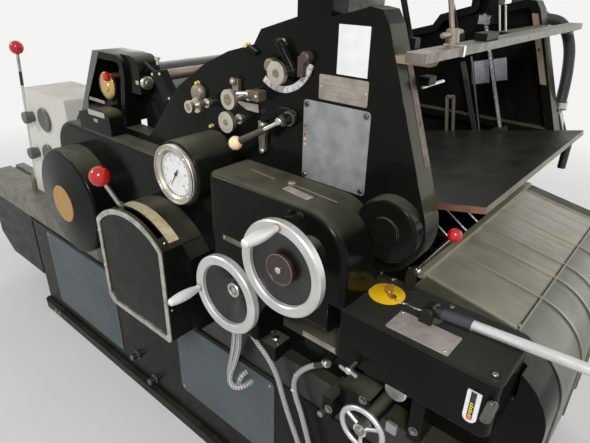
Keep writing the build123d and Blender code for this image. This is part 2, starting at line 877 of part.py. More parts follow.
lower_hub_back_y = lower_wheel_y + 16
wheel_spindles = []
for size_name, wheel_x, wheel_z, wheel_radius, wheel_dish, handle_angle in (
        ("large", large_wheel_x, large_wheel_z, large_wheel_radius, large_wheel_dish, 92),
        ("small", small_wheel_x, small_wheel_z, small_wheel_radius, small_wheel_dish, 190)):
    save("handwheel_" + size_name, make_handwheel(wheel_x, wheel_z, wheel_radius, wheel_dish))
    save("handle_" + size_name, make_handle(wheel_x, wheel_z, handle_angle, wheel_radius))
    wheel_spindles.append(make_wheel_spindle(wheel_x, wheel_z, wheel_dish))
save("handwheel_lower", make_lower_wheel())
save("wheel_spindles", Compound(children=wheel_spindles + [make_lower_spindle()]))


# Bearing bosses on the side frames

def make_boss():
    """Round bearing boss on the outer face of the near frame."""
    front = -frame_outer_y - boss_height
    boss = disc(boss_x, boss_z, boss_radius, front, -frame_outer_y)
    boss = fillet(boss.edges().group_by(Axis.Y)[0], 8)
    return boss + disc(boss_x, boss_z, boss_cap_radius, front - 6, front)


casing_room = slab(offset(proud_outline(), seat_gap), casing_front_y, -frame_outer_y)
near_boss = make_boss() - casing_room
save("bearing_bosses", Compound(children=[near_boss, across(near_boss)]))


# Ink unit at the left between the frames

def hood_outline():
    """Arch with a sloping left leg and a full right shoulder, standing on the frame."""
    slope_foot_x = -484.0
    slope_top_x = -344.0
    right_top_x = -167.0
    right_foot_x = -198.0
    outline = polygon([
        (slope_foot_x, hood_foot_z), (slope_top_x, hood_top_z), (right_top_x, hood_top_z),
        (right_top_x - 1, hood_top_z - 76), (right_foot_x, hood_foot_z)])
    return fillet(corner_near(outline, right_top_x, hood_top_z), 45)


def make_hood():
    """Arched end guard of the ink unit, open towards the operator."""
    outline = hood_outline()
    outer_y = -frame_outer_y
    shell = slab(outline - offset(outline, -hood_wall), outer_y, outer_y + hood_depth)
    foot_plate = block(-484.0, -198.0, outer_y, -frame_inner_y, frame_shoulder_z, hood_foot_z)
    return shell + foot_plate


near_hood = make_hood()
save("ink_hoods", Compound(children=[near_hood, across(near_hood)]))

drum_length = frame_inner_y - 20
drum_end = drum_length + ink_journal_length
save("ink_drum", turned(ink_drum_x, ink_drum_z, [
    (0, -drum_end), (ink_journal_radius, -drum_end), (ink_journal_radius, -drum_length),
    (ink_drum_radius, -drum_length), (ink_drum_radius, drum_length), (ink_journal_radius, drum_length),
    (ink_journal_radius, drum_end), (0, drum_end)]))


def make_bearing_block():
    """Block on the hood's foot that carries the ink drum's journal."""
    y_low = -frame_outer_y + 20
    y_high = -drum_length - 8
    post = block(ink_drum_x - bearing_half_width, ink_drum_x + bearing_half_width, y_low, y_high,
                 hood_foot_z + hood_wall, ink_drum_z + bearing_half_width)
    post = rounded(post, Axis.Y, 12)
    bore = disc(ink_drum_x, ink_drum_z, ink_journal_radius + running_gap, y_low, y_high)
    return post - bore


near_block = make_bearing_block()
save("ink_bearings", Compound(children=[near_block, across(near_block)]))


# Spray unit and its knobs

def make_spray_unit():
    """White housing on the near rail with a leaning left edge and rounded front edges."""
    outline = polygon([
        (spray_bottom_left_x, rail_top_z), (spray_top_left_x, spray_top_z),
        (spray_right_x, spray_top_z), (spray_right_x, rail_top_z)])
    return rounded(slab(outline, spray_front_y, spray_front_y + spray_depth), Axis.Y, 8)


def make_spray_knob(x, z, radius, length):
    """Turned knob with a short neck, seated on the front of the spray unit."""
    neck = radius - knob_neck
    return turned(x, z, [
        (0, spray_front_y), (neck, spray_front_y), (neck, spray_front_y - length * 0.35),
        (radius, spray_front_y - length * 0.4), (radius, spray_front_y - length + 3),
        (radius - 3, spray_front_y - length), (0, spray_front_y - length)])


save("spray_unit", make_spray_unit())
save("spray_knobs", Compound(children=[
    make_spray_knob(-1060.0, spray_top_z - 128, knob_radius, knob_length),
    make_spray_knob(-1088.0, spray_top_z - 304, knob_radius, knob_length),
    make_spray_knob(-934.0, spray_top_z - 120, knob_disc_radius, knob_disc_length),
    make_spray_knob(-962.0, spray_top_z - 292, knob_disc_radius, knob_disc_length)]))


# Levers on pins

def make_pin(x, z, y_low, y_high):
    """Pin along Y for a lever's hub."""
    return disc(x, z, pin_radius, y_low, y_high)


def hub_with_arm(pivot, hub_half, hub_radius, end, arm_radius):
    """Lever hub bored for its pin, with a round arm."""
    x, y, z = pivot
    hub = disc(x, z, hub_radius, y - hub_half, y + hub_half)
    bore = disc(x, z, pin_radius + running_gap, y - hub_half - 1, y + hub_half + 1)
    return hub + rod(pivot, end, arm_radius) - bore


throw_pivot = (throw_pivot_x, throw_y, throw_pivot_z)
throw_ball = (throw_ball_x, throw_y, throw_ball_z)
throw_arm = hub_with_arm(throw_pivot, 9, 18, throw_ball, 7)
save("throw_off_lever", throw_arm + ball(throw_ball, throw_ball_radius))
throw_ear = block(throw_pivot_x - throw_ear_radius, throw_pivot_x + throw_ear_radius,
                  throw_y - 21, throw_y - 11, rail_top_z, throw_pivot_z)
throw_ear += disc(throw_pivot_x, throw_pivot_z, throw_ear_radius, throw_y - 21, throw_y - 11)
save("throw_off_bracket", throw_ear + make_pin(throw_pivot_x, throw_pivot_z, throw_y - 21, throw_y + 12))

trip_pivot = (trip_pivot_x, trip_hub_y, trip_pivot_z)
trip_centre = (trip_ball_x, trip_ball_y, trip_ball_z)
trip_ball = ball(trip_centre, trip_ball_radius)
save("trip_lever", hub_with_arm(trip_pivot, 10, trip_hub_radius, trip_centre, 6) - trip_ball)
save("trip_lever_ball", trip_ball)
trip_seat_y = trip_hub_y + 10 + running_gap
trip_pin = turned(trip_pivot_x, trip_pivot_z, [
    (0, -frame_outer_y), (17, -frame_outer_y), (17, trip_seat_y), (pin_radius, trip_seat_y),
    (pin_radius, trip_hub_y - 13), (0, trip_hub_y - 13)])
speed_pin = make_pin(cover_arch_x, cover_arch_z, cover_front_y + cover_wall, speed_slot_y + 12)
save("lever_pins", Compound(children=[trip_pin, speed_pin]))

delivery_pivot = (delivery_pivot_x, delivery_y, delivery_pivot_z)
delivery_ball = (delivery_ball_x, delivery_y, delivery_ball_z)
delivery_arm = hub_with_arm(delivery_pivot, 7, 13, delivery_ball, 5)
save("delivery_lever", delivery_arm + ball(delivery_ball, delivery_ball_radius))


# Feeder

def make_pile_board():
    """Inclined pile board with the lugs that ride on the hoist spindles."""
    slope = math.radians(board_slope)
    left_x = board_edge_x - board_length * math.cos(slope)
    left_z = board_edge_z - board_length * math.sin(slope)
    drop_x = math.sin(slope) * board_thickness
    drop_z = math.cos(slope) * board_thickness
    outline = polygon([
        (left_x, left_z), (board_edge_x, board_edge_z),
        (board_edge_x + drop_x, board_edge_z - drop_z), (left_x + drop_x, left_z - drop_z)])
    board = slab(outline, -board_half_width, board_half_width)
    lug_inner_y = board_half_width - 30
    lug_z = spindle_z - 6
    lug_foot = Vector(on_lean(spindle_x, spindle_z, lug_z), 0, lug_z) - lean_up * (lug_length / 2)
    plane = Plane(origin=lug_foot, x_dir=(0, 1, 0), z_dir=lean_up)
    for side in (-1, 1):
        middle = side * (lug_inner_y + lug_outer_y) / 2
        lug = extrude(plane * Pos(middle, 0) * Rectangle(lug_outer_y - lug_inner_y, lug_width),
                      amount=lug_length)
        hole = extrude(plane.offset(-lug_length) * Pos(side * spindle_y, 0)
                       * Circle(spindle_radius + running_gap), amount=3 * lug_length)
        board = board + lug - hole
    return board


def make_spindle():
    """Hoist spindle on the near side with its two brackets on the frame."""
    low = (on_lean(spindle_x, spindle_z, spindle_low_z), -spindle_y, spindle_low_z)
    high = (on_lean(spindle_x, spindle_z, spindle_high_z), -spindle_y, spindle_high_z)
    spindle = rod(low, high, spindle_radius)
    for end_z in (spindle_low_z + 18, spindle_high_z - 18):
        middle_x = on_lean(spindle_x, spindle_z, end_z)
        spindle += block(middle_x - 20, middle_x + 20, -frame_outer_y + frame_web, -spindle_y + 12,
                         end_z - 14, end_z + 14)
    return spindle - near_frame


def make_feeder_bracket():
    """Flat steel bar on the inner rim of the near frame, in line with its leaning edge."""
    foot_x = lean_edge_x(bracket_low_z) - frame_rim
    top_z = horn_foot_z - 12
    top_x = on_lean(foot_x, bracket_low_z, top_z)
    outline = polygon([
        (foot_x, bracket_low_z), (foot_x + bracket_width, bracket_low_z),
        (top_x + bracket_width, top_z), (top_x, top_z)])
    bar = slab(outline, -frame_inner_y, -frame_inner_y + bracket_thickness)
    hole_z = (bracket_low_z + top_z) / 2
    hole_x = on_lean(foot_x, bracket_low_z, hole_z) + bracket_width / 2
    return bar - disc(hole_x, hole_z, 4, -frame_inner_y, -frame_inner_y + bracket_thickness)


def make_clamp():
    """Lug on the near frame's leaning edge that carries the crossbar."""
    low_z = crossbar_z - clamp_thickness
    outline = polygon([
        (lean_edge_x(crossbar_z), crossbar_z), (lean_edge_x(low_z), low_z), (crossbar_x, low_z),
        (crossbar_x + 8, crossbar_z)])
    return slab(outline, -frame_outer_y, -frame_outer_y + clamp_width)


def make_crossbar():
    """Flat steel crossbar on the lugs, in front of the frames' leaning edges."""
    bar = block(crossbar_x - crossbar_width / 2, crossbar_x + crossbar_width / 2,
                crossbar_near_y, crossbar_far_y, crossbar_z, crossbar_z + crossbar_thickness)
    return rounded(bar, Axis.Z, 8)


def make_tie_bar():
    """Round tie bar on saddles at the top of the frames."""
    tie = disc(tie_bar_x, tie_bar_z, tie_bar_radius, -frame_outer_y, frame_outer_y)
    saddle = block(tie_bar_x - saddle_half_width, tie_bar_x + saddle_half_width,
                   -frame_outer_y, -frame_inner_y, horn_foot_z - 14, tie_bar_z)
    saddle -= slab(frame_outline(), -frame_outer_y, -frame_inner_y)
    return tie + saddle + across(saddle)


def make_feeder_head():
    """Head tube between the horns with its two hanging suction bars."""
    head = disc(head_bar_x, head_bar_z, head_bar_radius, -frame_inner_y, frame_inner_y)
    foot_x = on_lean(head_bar_x, head_bar_z, hanger_foot_z)
    for y in (-hanger_y, hanger_y):
        head += rod((head_bar_x, y, head_bar_z), (foot_x, y, hanger_foot_z), hanger_radius)
        head += block(foot_x - 18, foot_x + 18, y - 14, y + 14, hanger_foot_z - 10, hanger_foot_z + 16)
    return head


near_spindle = make_spindle()
near_bracket = make_feeder_bracket()
near_clamp = make_clamp()
save("pile_board", make_pile_board())
save("hoist_spindles", Compound(children=[near_spindle, across(near_spindle)]))
save("feeder_brackets", Compound(children=[
    near_bracket, across(near_bracket), near_clamp, across(near_clamp)]))
save("feeder_crossbar", make_crossbar())
save("frame_tie", make_tie_bar())
save("feeder_head", make_feeder_head())


# Held hoses and conduits

def held_hose(points, radius):
    """Round hose along straight runs joined by the widest arcs that the runs allow."""
    corners = [Vector(*point) for point in points]
    radii = []
    for before, here, after in zip(corners, corners[1:], corners[2:]):
        run_in = here - before
        run_out = after - here
        half_turn = math.radians(run_in.get_angle(run_out) / 2)
        radii.append(0.45 * min(run_in.length, run_out.length) / math.tan(half_turn))
    path = FilletPolyline(*corners, radius=radii)
    section = Plane(origin=path @ 0, z_dir=path % 0) * Circle(radius)
    tube = sweep(section, path=path)
    print("hose radii", [round(r) for r in radii], "length", round(path.length),
          "volume ratio", round(tube.volume / (math.pi * radius ** 2 * path.length), 3))
    return tube


def make_hose_socket():
    """Socket on the far frame's face that the suction hose comes out of."""
    return block(hose_socket_x - 40, hose_socket_x, frame_outer_y, hose_y + collar_radius,
                 hose_socket_z - 22, hose_socket_z + 22)


def make_hose_valve():
    """Collar clipped to the far frame, with the pipe and the valve that hang from it."""
    collar_foot_z = collar_z - 27
    clip = block(collar_x - 16, collar_x + 12, frame_outer_y, hose_y, collar_foot_z - 9, collar_foot_z + 9)
    collar = Pos(collar_x, hose_y, collar_foot_z + 13.5) * Cylinder(collar_radius, 27)
    valve_top_z = valve_z + 45
    pipe = rod((collar_x, hose_y, collar_foot_z), (valve_x, hose_y, valve_top_z - 10), 9)
    valve = Pos(valve_x, hose_y, valve_z) * Cylinder(14, 2 * 45)
    return clip + collar + pipe + valve


save("suction_hose", held_hose([
    (hose_socket_x, hose_y, hose_socket_z),
    (819.0, hose_y, hose_socket_z),
    (852.0, hose_y, 1508.0),
    (874.0, hose_y, 1454.0),
    (883.0, hose_y, 1395.0),
    (collar_x, hose_y, 1335.0),
    (collar_x, hose_y, collar_z)], hose_radius))
save("hose_fittings", Compound(children=[make_hose_socket(), make_hose_valve()]))

panel_face_y = -base_half_width - panel_thickness
save("conduits", Compound(children=[
    held_hose([
        (446.0, conduit_y, casing_neck_bottom_z),
        (446.0, conduit_y, 712.0),
        (490.0, conduit_y - 4, 684.0),
        (537.0, conduit_y - 4, 652.0),
        (568.0, conduit_y, 600.0),
        (591.0, conduit_y, 530.0),
        (618.0, conduit_y, 464.0),
        (654.0, conduit_y, 390.0),
        (684.0, conduit_y, 312.0),
        (684.0, -base_half_width, 312.0)], conduit_radius),
    held_hose([
        (736.0, -frame_outer_y, 752.0),
        (736.0, conduit_y - 4, 752.0),
        (694.0, conduit_y - 4, 722.0),
        (655.0, conduit_y - 4, 678.0),
        (631.0, conduit_y, 628.0),
        (633.0, conduit_y, 580.0),
        (661.0, conduit_y, 520.0),
        (684.0, conduit_y, 450.0),
        (706.0, conduit_y, 380.0),
        (726.0, conduit_y, 312.0),
        (726.0, -base_half_width, 312.0)], conduit_radius),
    held_hose([
        (404.0, conduit_y - 12, casing_neck_bottom_z),
        (404.0, conduit_y - 12, 668.0),
        (374.0, conduit_y, 568.0),
        (350.0, conduit_y, 474.0),
        (365.0, conduit_y, 434.0),
        (398.0, conduit_y, 448.0),
        (406.0, conduit_y, 496.0),
        (406.0, panel_face_y, 496.0)], sleeve_radius),
    held_hose([
        (424.0, conduit_y - 12, casing_neck_bottom_z),
        (424.0, conduit_y - 12, 660.0),
        (394.0, conduit_y - 4, 560.0),
        (374.0, conduit_y - 20, 490.0),
        (392.0, conduit_y - 26, 460.0),
        (430.0, conduit_y - 12, 470.0),
        (430.0, panel_face_y, 470.0)], sleeve_radius)]))


# Delivery guard

guard_slope = math.atan2(guard_top_z - guard_seam_z, guard_seam_x - guard_top_x)
nose_centre_x = guard_seam_x - nose_radius * math.sin(guard_slope)
nose_centre_z = guard_seam_z - nose_radius * math.cos(guard_slope)
near_cheek_inner_y = -cheek_outer_y + near_cheek_thickness
far_cheek_inner_y = cheek_outer_y - far_cheek_thickness


def guard_profile(inset, left_x, low_z):
    """Area under the sloping guard and its round nose, drawn in by the given inset."""
    reach = nose_radius - inset
    middle_angle = (math.pi / 2 - guard_slope) / 2
    seam = (nose_centre_x + reach * math.sin(guard_slope), nose_centre_z + reach * math.cos(guard_slope))
    middle = (nose_centre_x + reach * math.cos(middle_angle), nose_centre_z + reach * math.sin(middle_angle))
    front = (nose_centre_x + reach, nose_centre_z)
    back_top = (left_x, seam[1] + (seam[0] - left_x) * math.tan(guard_slope))
    with BuildSketch() as sketch:
        with BuildLine():
            Polyline((left_x, low_z), back_top, seam)
            ThreePointArc(seam, middle, front)
            Polyline(front, (front[0], low_z), (left_x, low_z))
        make_face()
    return sketch.sketch


def make_guard_part(x_low, x_high):
    """Part of the guard's sheet between two places along the machine, with its raised ridges."""
    region = block(x_low, x_high, guard_near_y, guard_far_y, nose_bottom_z, guard_top_z + nose_radius)
    below = slab(guard_profile(guard_sheet, guard_top_x - joint_gap, nose_bottom_z - 1),
                 guard_near_y - 1, guard_far_y + 1)
    part = slab(guard_profile(0, guard_top_x, nose_bottom_z), guard_near_y, guard_far_y)
    ridge = guard_profile(-ridge_height, guard_top_x, nose_bottom_z)
    for y in ridge_places:
        part += slab(ridge, y - ridge_width / 2, y + ridge_width / 2)
    return (part & region) - below


def make_cheek(y_low, y_high):
    """Cast side cheek under the guard, standing on the bed rail."""
    return slab(guard_profile(guard_sheet + seat_gap, guard_top_x, rail_top_z), y_low, y_high)


box_footprint = block(
    control_left_x - lid_overhang, control_right_x + joint_gap, -cheek_outer_y, control_back_y + seat_gap,
    control_bottom_z, control_top_z)
save("delivery_guard", make_guard_part(guard_top_x, guard_seam_x - 1))
save("delivery_nose", make_guard_part(guard_seam_x + 1, guard_seam_x + 2 * nose_radius))
save("delivery_cheeks", Compound(children=[
    make_cheek(-cheek_outer_y, near_cheek_inner_y) - box_footprint,
    make_cheek(far_cheek_inner_y, cheek_outer_y)]))


# Control box and its lever

def make_control_box():
    """Cast control box with rounded corners."""
    box = block(control_left_x, control_right_x, control_front_y, control_back_y,
                control_bottom_z, control_top_z - lid_thickness)
    return rounded(box, Axis.Z, control_corner)


def make_control_lid():
    """Lid with a rounded top edge, the feed lever's fork and the delivery lever's post."""
    lid = block(control_left_x - lid_overhang, control_right_x + lid_overhang,
                control_front_y - lid_overhang, control_back_y,
                control_top_z - lid_thickness, control_top_z)
    lid = rounded(lid, Axis.Z, control_corner)
    lid = fillet(lid.edges().group_by(Axis.Z)[-1], lid_edge_radius)
    fork_low_y = lever_y - 32
    fork_high_y = lever_y - 22
    fork = block(lever_pivot_x - lever_hub_radius, lever_pivot_x + lever_hub_radius,
                 fork_low_y, fork_high_y, control_top_z - 2, lever_pivot_z)
    fork += disc(lever_pivot_x, lever_pivot_z, lever_hub_radius, fork_low_y, fork_high_y)
    fork += make_pin(lever_pivot_x, lever_pivot_z, fork_low_y, lever_y + 15)
    post_low_y = delivery_y - 17
    post_high_y = delivery_y - 8
    post = block(delivery_pivot_x - 12, delivery_pivot_x + 12, post_low_y, post_high_y,
                 control_top_z - 2, delivery_pivot_z)
    post += disc(delivery_pivot_x, delivery_pivot_z, 12, post_low_y, post_high_y)
    post += make_pin(delivery_pivot_x, delivery_pivot_z, post_low_y, delivery_y + 9)
    return lid + fork + post


def make_feed_lever():
    """Long pipe lever on the control box with a sleeve at its root, rising a little to its end."""
    rise = math.radians(lever_rise)

    def along(distance):
        """Point on the lever's line."""
        return (lever_pivot_x + distance * math.cos(rise), lever_y, lever_pivot_z + distance * math.sin(rise))

    eye = disc(lever_pivot_x, lever_pivot_z, lever_hub_radius, lever_y - 12, lever_y + 12)
    sleeve = rod(along(pin_radius + 2), along(lever_sleeve_length), lever_sleeve_radius)
    pipe_length = (lever_end_x - lever_pivot_x) / math.cos(rise)
    pipe = rod(along(lever_sleeve_length - lever_hub_radius), along(pipe_length), lever_radius)
    bore = disc(lever_pivot_x, lever_pivot_z, pin_radius + running_gap, lever_y - 13, lever_y + 13)
    return eye + sleeve + pipe - bore


save("control_box", make_control_box())
save("control_lid", make_control_lid())
save("feed_lever", make_feed_lever())


# Adjusting knobs, quadrant scale and register ledge on the near frame

def make_adjuster(x, z, discs):
    """Adjusting spindle with one or more round heads, given as (distance from the frame, radius)."""
    reach = max(distance for distance, radius in discs)
    knob = disc(x, z, adjuster_shaft_radius, -frame_outer_y - reach, -frame_outer_y)
    knob += disc(x, z, adjuster_collar_radius, -frame_outer_y - adjuster_head, -frame_outer_y)
    for distance, radius in discs:
        front = -frame_outer_y - distance
        knob += disc(x, z, radius, front, front + adjuster_head)
    return knob


def make_register_ledge():
    """Ledge under the casing's arm, whose top slopes down from the frame to the front."""
    front_y = -frame_outer_y - ledge_depth
    with BuildSketch(Plane.YZ.offset(ledge_left_x)) as sketch:
        with BuildLine():
            Polyline((-frame_outer_y, ledge_bottom_z), (front_y, ledge_bottom_z),
                     (front_y, ledge_bottom_z + ledge_front_height),
                     (-frame_outer_y, ledge_bottom_z + ledge_back_height), close=True)
        make_face()
    return extrude(sketch.sketch, amount=ledge_right_x - ledge_left_x)


first_angle, last_angle = quadrant_angles
quadrant_face = arc_band(quadrant_x, quadrant_z, quadrant_radius - quadrant_width, quadrant_radius,
                         first_angle, last_angle)
save("frame_adjusters", Compound(children=[
    make_adjuster(249.0, frame_shoulder_z + 158, [(48.0, 20.0), (74.0, 16.0)]),
    make_adjuster(411.0, frame_shoulder_z + 204, [(80.0, 24.0)]),
    make_adjuster(376.0, frame_shoulder_z + 138, [(58.0, 27.0)]),
    make_adjuster(526.0, frame_shoulder_z + 275, [(36.0, 26.0)])]))
save("quadrant_scale", slab(quadrant_face, -frame_outer_y - quadrant_thickness, -frame_outer_y))
save("register_ledge", make_register_ledge())

# Write the pieces

os.makedirs("parts", exist_ok=True)
for name, solid in parts.items():
    export_step(solid, "parts/" + name + ".step")
print(len(parts), "nodes")
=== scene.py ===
import math
import random

import bmesh
import bpy
from mathutils import Matrix, Vector


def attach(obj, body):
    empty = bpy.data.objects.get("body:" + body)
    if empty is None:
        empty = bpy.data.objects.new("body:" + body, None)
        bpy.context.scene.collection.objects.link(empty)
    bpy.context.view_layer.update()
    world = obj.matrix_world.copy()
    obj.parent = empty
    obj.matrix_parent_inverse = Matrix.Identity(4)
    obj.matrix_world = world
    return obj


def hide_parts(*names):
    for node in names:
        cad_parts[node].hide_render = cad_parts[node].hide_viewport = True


# Looks of the cylinder letterpress. Places are in millimetres in the CAD's frame, and the meshes are
# made in metres: X runs towards the delivery, the operator stands at -Y, and Z is up.

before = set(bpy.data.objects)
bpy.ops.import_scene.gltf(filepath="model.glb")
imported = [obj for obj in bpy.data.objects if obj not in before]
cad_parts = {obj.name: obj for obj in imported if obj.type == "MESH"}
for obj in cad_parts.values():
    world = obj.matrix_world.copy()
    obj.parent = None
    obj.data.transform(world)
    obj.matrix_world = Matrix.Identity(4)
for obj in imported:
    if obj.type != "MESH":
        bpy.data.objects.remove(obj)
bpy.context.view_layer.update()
random.seed(11)

MM = 0.001
OPERATOR = (0, -1, 0)
UP = (0, 0, 1)

# Faces and centres of the CAD model that details stand on
frame_face_y = -494.0
casing_face_y = -632.0
casing_top_z = 1210.0
cover_face_y = -700.0
cover_border_y = -704.0
cover_left_x = -92.0
cover_right_x = 258.0
cover_block_y = -550.0
base_face_y = -532.0
lid_top_z = 1000.0
box_face_y = -611.0
large_wheel_x = 731.0
large_wheel_z = 1118.0
small_wheel_x = 557.0
small_wheel_z = 973.0
large_hub_y = -728.0
small_hub_y = -698.0
wheel_face_y = -742.0
trip_hub_x = 548.0
trip_hub_z = 1351.0
gauge_x = 268.0
gauge_z = 1174.0
dial_face_y = -638.0
bezel_face_y = -648.0

# Turns a flat outline into one that stands in X and Z, with its thickness towards the operator
FRONT = Matrix(((1, 0, 0), (0, 0, 1), (0, -1, 0))).transposed().to_4x4()


def upright(x, y, z):
    """Matrix that puts an upright outline at a place."""
    return Matrix.Translation((x, y, z)) @ FRONT


# Foot and lean of the slotted strap on the far frame
strap_foot = (567.0, 424.0, 1078.0)
STRAP = Matrix.Rotation(math.radians(-8.4), 4, "Y") @ FRONT


# Materials

class Finish:
    """A principled material and the few node steps that the finishes share."""

    def __init__(self, name, roughness=0.4, metallic=0.0):
        self.material = bpy.data.materials.new(name)
        self.material.use_nodes = True
        self.tree = self.material.node_tree
        self.shader = self.tree.nodes["Principled BSDF"]
        self.shader.inputs["Roughness"].default_value = roughness
        self.shader.inputs["Metallic"].default_value = metallic
        self.place = self.node("ShaderNodeTexCoord").outputs["Object"]
        self.normal = self.node("ShaderNodeNewGeometry").outputs["Normal"]

    def node(self, kind, settings=None, **inputs):
        """Adds a node with its settings and its inputs, which are values or other nodes' outputs."""
        node = self.tree.nodes.new(kind)
        for name, value in (settings or {}).items():
            setattr(node, name, value)
        for name, value in inputs.items():
            self.feed(node.inputs[name.replace("_", " ")], value)
        return node

    def feed(self, socket, value):
        """Links a socket or sets its value."""
        if isinstance(value, bpy.types.NodeSocket):
            self.tree.links.new(value, socket)
        else:
            socket.default_value = value

    def math(self, operation, first, second=0.0):
        """One arithmetic step."""
        node = self.node("ShaderNodeMath", {"operation": operation})
        self.feed(node.inputs[0], first)
        self.feed(node.inputs[1], second)
        return node.outputs[0]

    def stretched(self, stretch):
        """The object's coordinates scaled along each axis, for brushed or streaked patterns."""
        return self.node("ShaderNodeMapping", Vector=self.place, Scale=stretch).outputs[0]

    def noise(self, scale, detail=4.0, stretch=None):
        """Noise from 0 to 1."""
        place = self.stretched(stretch) if stretch else self.place
        return self.node("ShaderNodeTexNoise", Vector=place, Scale=scale, Detail=detail).outputs["Fac"]

    def between(self, value, low, high, start=0.0, end=1.0):
        """Maps a value from low..high to start..end, held at the ends."""
        node = self.node("ShaderNodeMapRange", Value=value)
        for name, number in (("From Min", low), ("From Max", high), ("To Min", start), ("To Max", end)):
            node.inputs[name].default_value = number
        return node.outputs[0]

    def mixed(self, factor, first, second):
        """Mix of two colours."""
        node = self.node("ShaderNodeMix", {"data_type": "RGBA"})
        self.feed(node.inputs[0], factor)
        self.feed(node.inputs[6], (*first, 1) if isinstance(first, tuple) else first)
        self.feed(node.inputs[7], (*second, 1) if isinstance(second, tuple) else second)
        return node.outputs[2]

    def patches(self, noise, low, high, start=0.0, end=1.0):
        """Noise, given as its scale, detail and stretch, mapped as between does."""
        return self.between(self.noise(*noise), low, high, start, end)

    def mottled(self, noise, low, high, first, second):
        """Mix of two colours in patches."""
        return self.mixed(self.patches(noise, low, high), first, second)

    def axis(self, vector, name):
        """One component of a vector."""
        return self.node("ShaderNodeSeparateXYZ", Vector=vector).outputs[name]

    def distance_from(self, centre):
        """Distance in the XZ plane from a line along Y, in metres."""
        flat = self.stretched((1, 0, 1))
        away = self.node("ShaderNodeVectorMath", {"operation": "DISTANCE"})
        self.feed(away.inputs[0], flat)
        away.inputs[1].default_value = (centre[0] * MM, 0, centre[1] * MM)
        return away.outputs["Value"]

    def angle_about(self, centre):
        """Angle in radians in the XZ plane about a line along Y, from +X towards +Z."""
        x = self.math("SUBTRACT", self.axis(self.place, "X"), centre[0] * MM)
        z = self.math("SUBTRACT", self.axis(self.place, "Z"), centre[1] * MM)
        return self.math("ARCTAN2", z, x)

    def colour(self, value):
        """Sets the base colour."""
        self.feed(self.shader.inputs["Base Color"], (*value, 1) if isinstance(value, tuple) else value)

    def rough(self, value):
        """Sets the roughness."""
        self.feed(self.shader.inputs["Roughness"], value)

    def metal(self, value):
        """Sets how metallic the surface is."""
        self.feed(self.shader.inputs["Metallic"], value)

    def shine(self, level):
        """Sets the specular level."""
        self.shader.inputs["Specular IOR Level"].default_value = level

    def bump(self, height, distance, strength=0.6):
        """Adds a bump on top of any bump already there."""
        node = self.node("ShaderNodeBump", Height=height, Distance=distance * MM, Strength=strength)
        socket = self.shader.inputs["Normal"]
        if socket.is_linked:
            self.tree.links.new(socket.links[0].from_socket, node.inputs["Normal"])
        self.tree.links.new(node.outputs[0], socket)

    def surface(self, noise, low, high, smooth, rough, relief, depth, strength=0.3):
        """Roughness in patches and a fine relief. Gives back the material."""
        self.rough(self.patches(noise, low, high, smooth, rough))
        self.bump(self.noise(*relief), depth, strength)
        return self.material

    def worn_edges(self, width):
        """Factor that is high along sharp edges and broken up by noise."""
        soft = self.node("ShaderNodeBevel", {"samples": 4}, Radius=width * MM).outputs[0]
        dot = self.node("ShaderNodeVectorMath", {"operation": "DOT_PRODUCT"})
        self.feed(dot.inputs[0], soft)
        self.feed(dot.inputs[1], self.normal)
        edge = self.between(dot.outputs["Value"], 0.97, 0.80)
        return self.math("MULTIPLY", edge, self.patches((22, 6), 0.5, 0.62))

    def dust_and_top_light(self, scale, most):
        """Factor for faces that look up, which are dusty and take a painted light from above."""
        up = self.between(self.axis(self.normal, "Z"), 0.55, 0.98)
        return self.math("MULTIPLY", up, self.patches((scale, 6), 0.2, 0.6, 0.0, most))


def enamel(name, base, shade, dust_and_top_light_colour, roughness=0.13, dust_and_top_light_most=0.3, wear=(0.20, 0.19, 0.17),
        lean_painted_sheen=None):
    """Brushed-on machine enamel: glossy, a little wavy, dusty with painted light on top, worn at its edges.
    """
    finish = Finish(name)
    finish.shine(0.08)
    soft = finish.node("ShaderNodeBevel", {"samples": 4}, Radius=2.5 * MM).outputs[0]
    finish.feed(finish.shader.inputs["Normal"], soft)
    patches = finish.patches((3.5, 5), 0.35, 0.7)
    colour = finish.mixed(patches, base, shade)
    # Faces that look up are dusty and take a painted light from above.
    colour = finish.mixed(finish.dust_and_top_light(7.0, dust_and_top_light_most), colour, dust_and_top_light_colour)
    # Faces that lean towards +X and a little up get a painted olive sheen.
    if lean_painted_sheen:
        lean = finish.between(finish.axis(finish.normal, "X"), 0.86, 0.93)
        lean = finish.math("MULTIPLY", lean, finish.between(finish.axis(finish.normal, "Z"), 0.1, 0.25))
        colour = finish.mixed(lean, colour, lean_painted_sheen)
    edges = finish.worn_edges(1.6)
    colour = finish.mixed(edges, colour, wear)
    finish.colour(colour)
    smears = finish.patches((14, 6, (1, 1, 2.5)), 0.4, 0.75, roughness, roughness + 0.16)
    finish.rough(finish.math("ADD", smears, finish.dust_and_top_light(9.0, 0.4)))
    finish.bump(finish.noise(9, 3), 1.2, 0.25)
    finish.bump(finish.noise(260, 2), 0.05, 0.35)
    return finish.material


def steel(name, base, stain, roughness=0.3, brushed=(1, 60, 1), metallic=1.0, stain_share=0.5):
    """Machined steel with fine lines, stains and a few darker spots."""
    finish = Finish(name, roughness, metallic)
    lines = finish.noise(40, 3, brushed)
    stains = finish.patches((11, 7), 0.45, 0.72, 0.0, stain_share)
    spots = finish.patches((140, 4), 0.66, 0.74, 0.0, stain_share)
    colour = finish.mixed(finish.between(lines, 0.3, 0.7, 0.0, 0.25), base, stain)
    colour = finish.mixed(stains, colour, stain)
    colour = finish.mixed(spots, colour, tuple(0.6 * c for c in stain))
    finish.colour(colour)
    finish.rough(finish.math("ADD", finish.between(lines, 0.3, 0.7, roughness, roughness + 0.12),
            finish.math("MULTIPLY", stains, 0.25)))
    finish.bump(lines, 0.03, 0.3)
    return finish.material


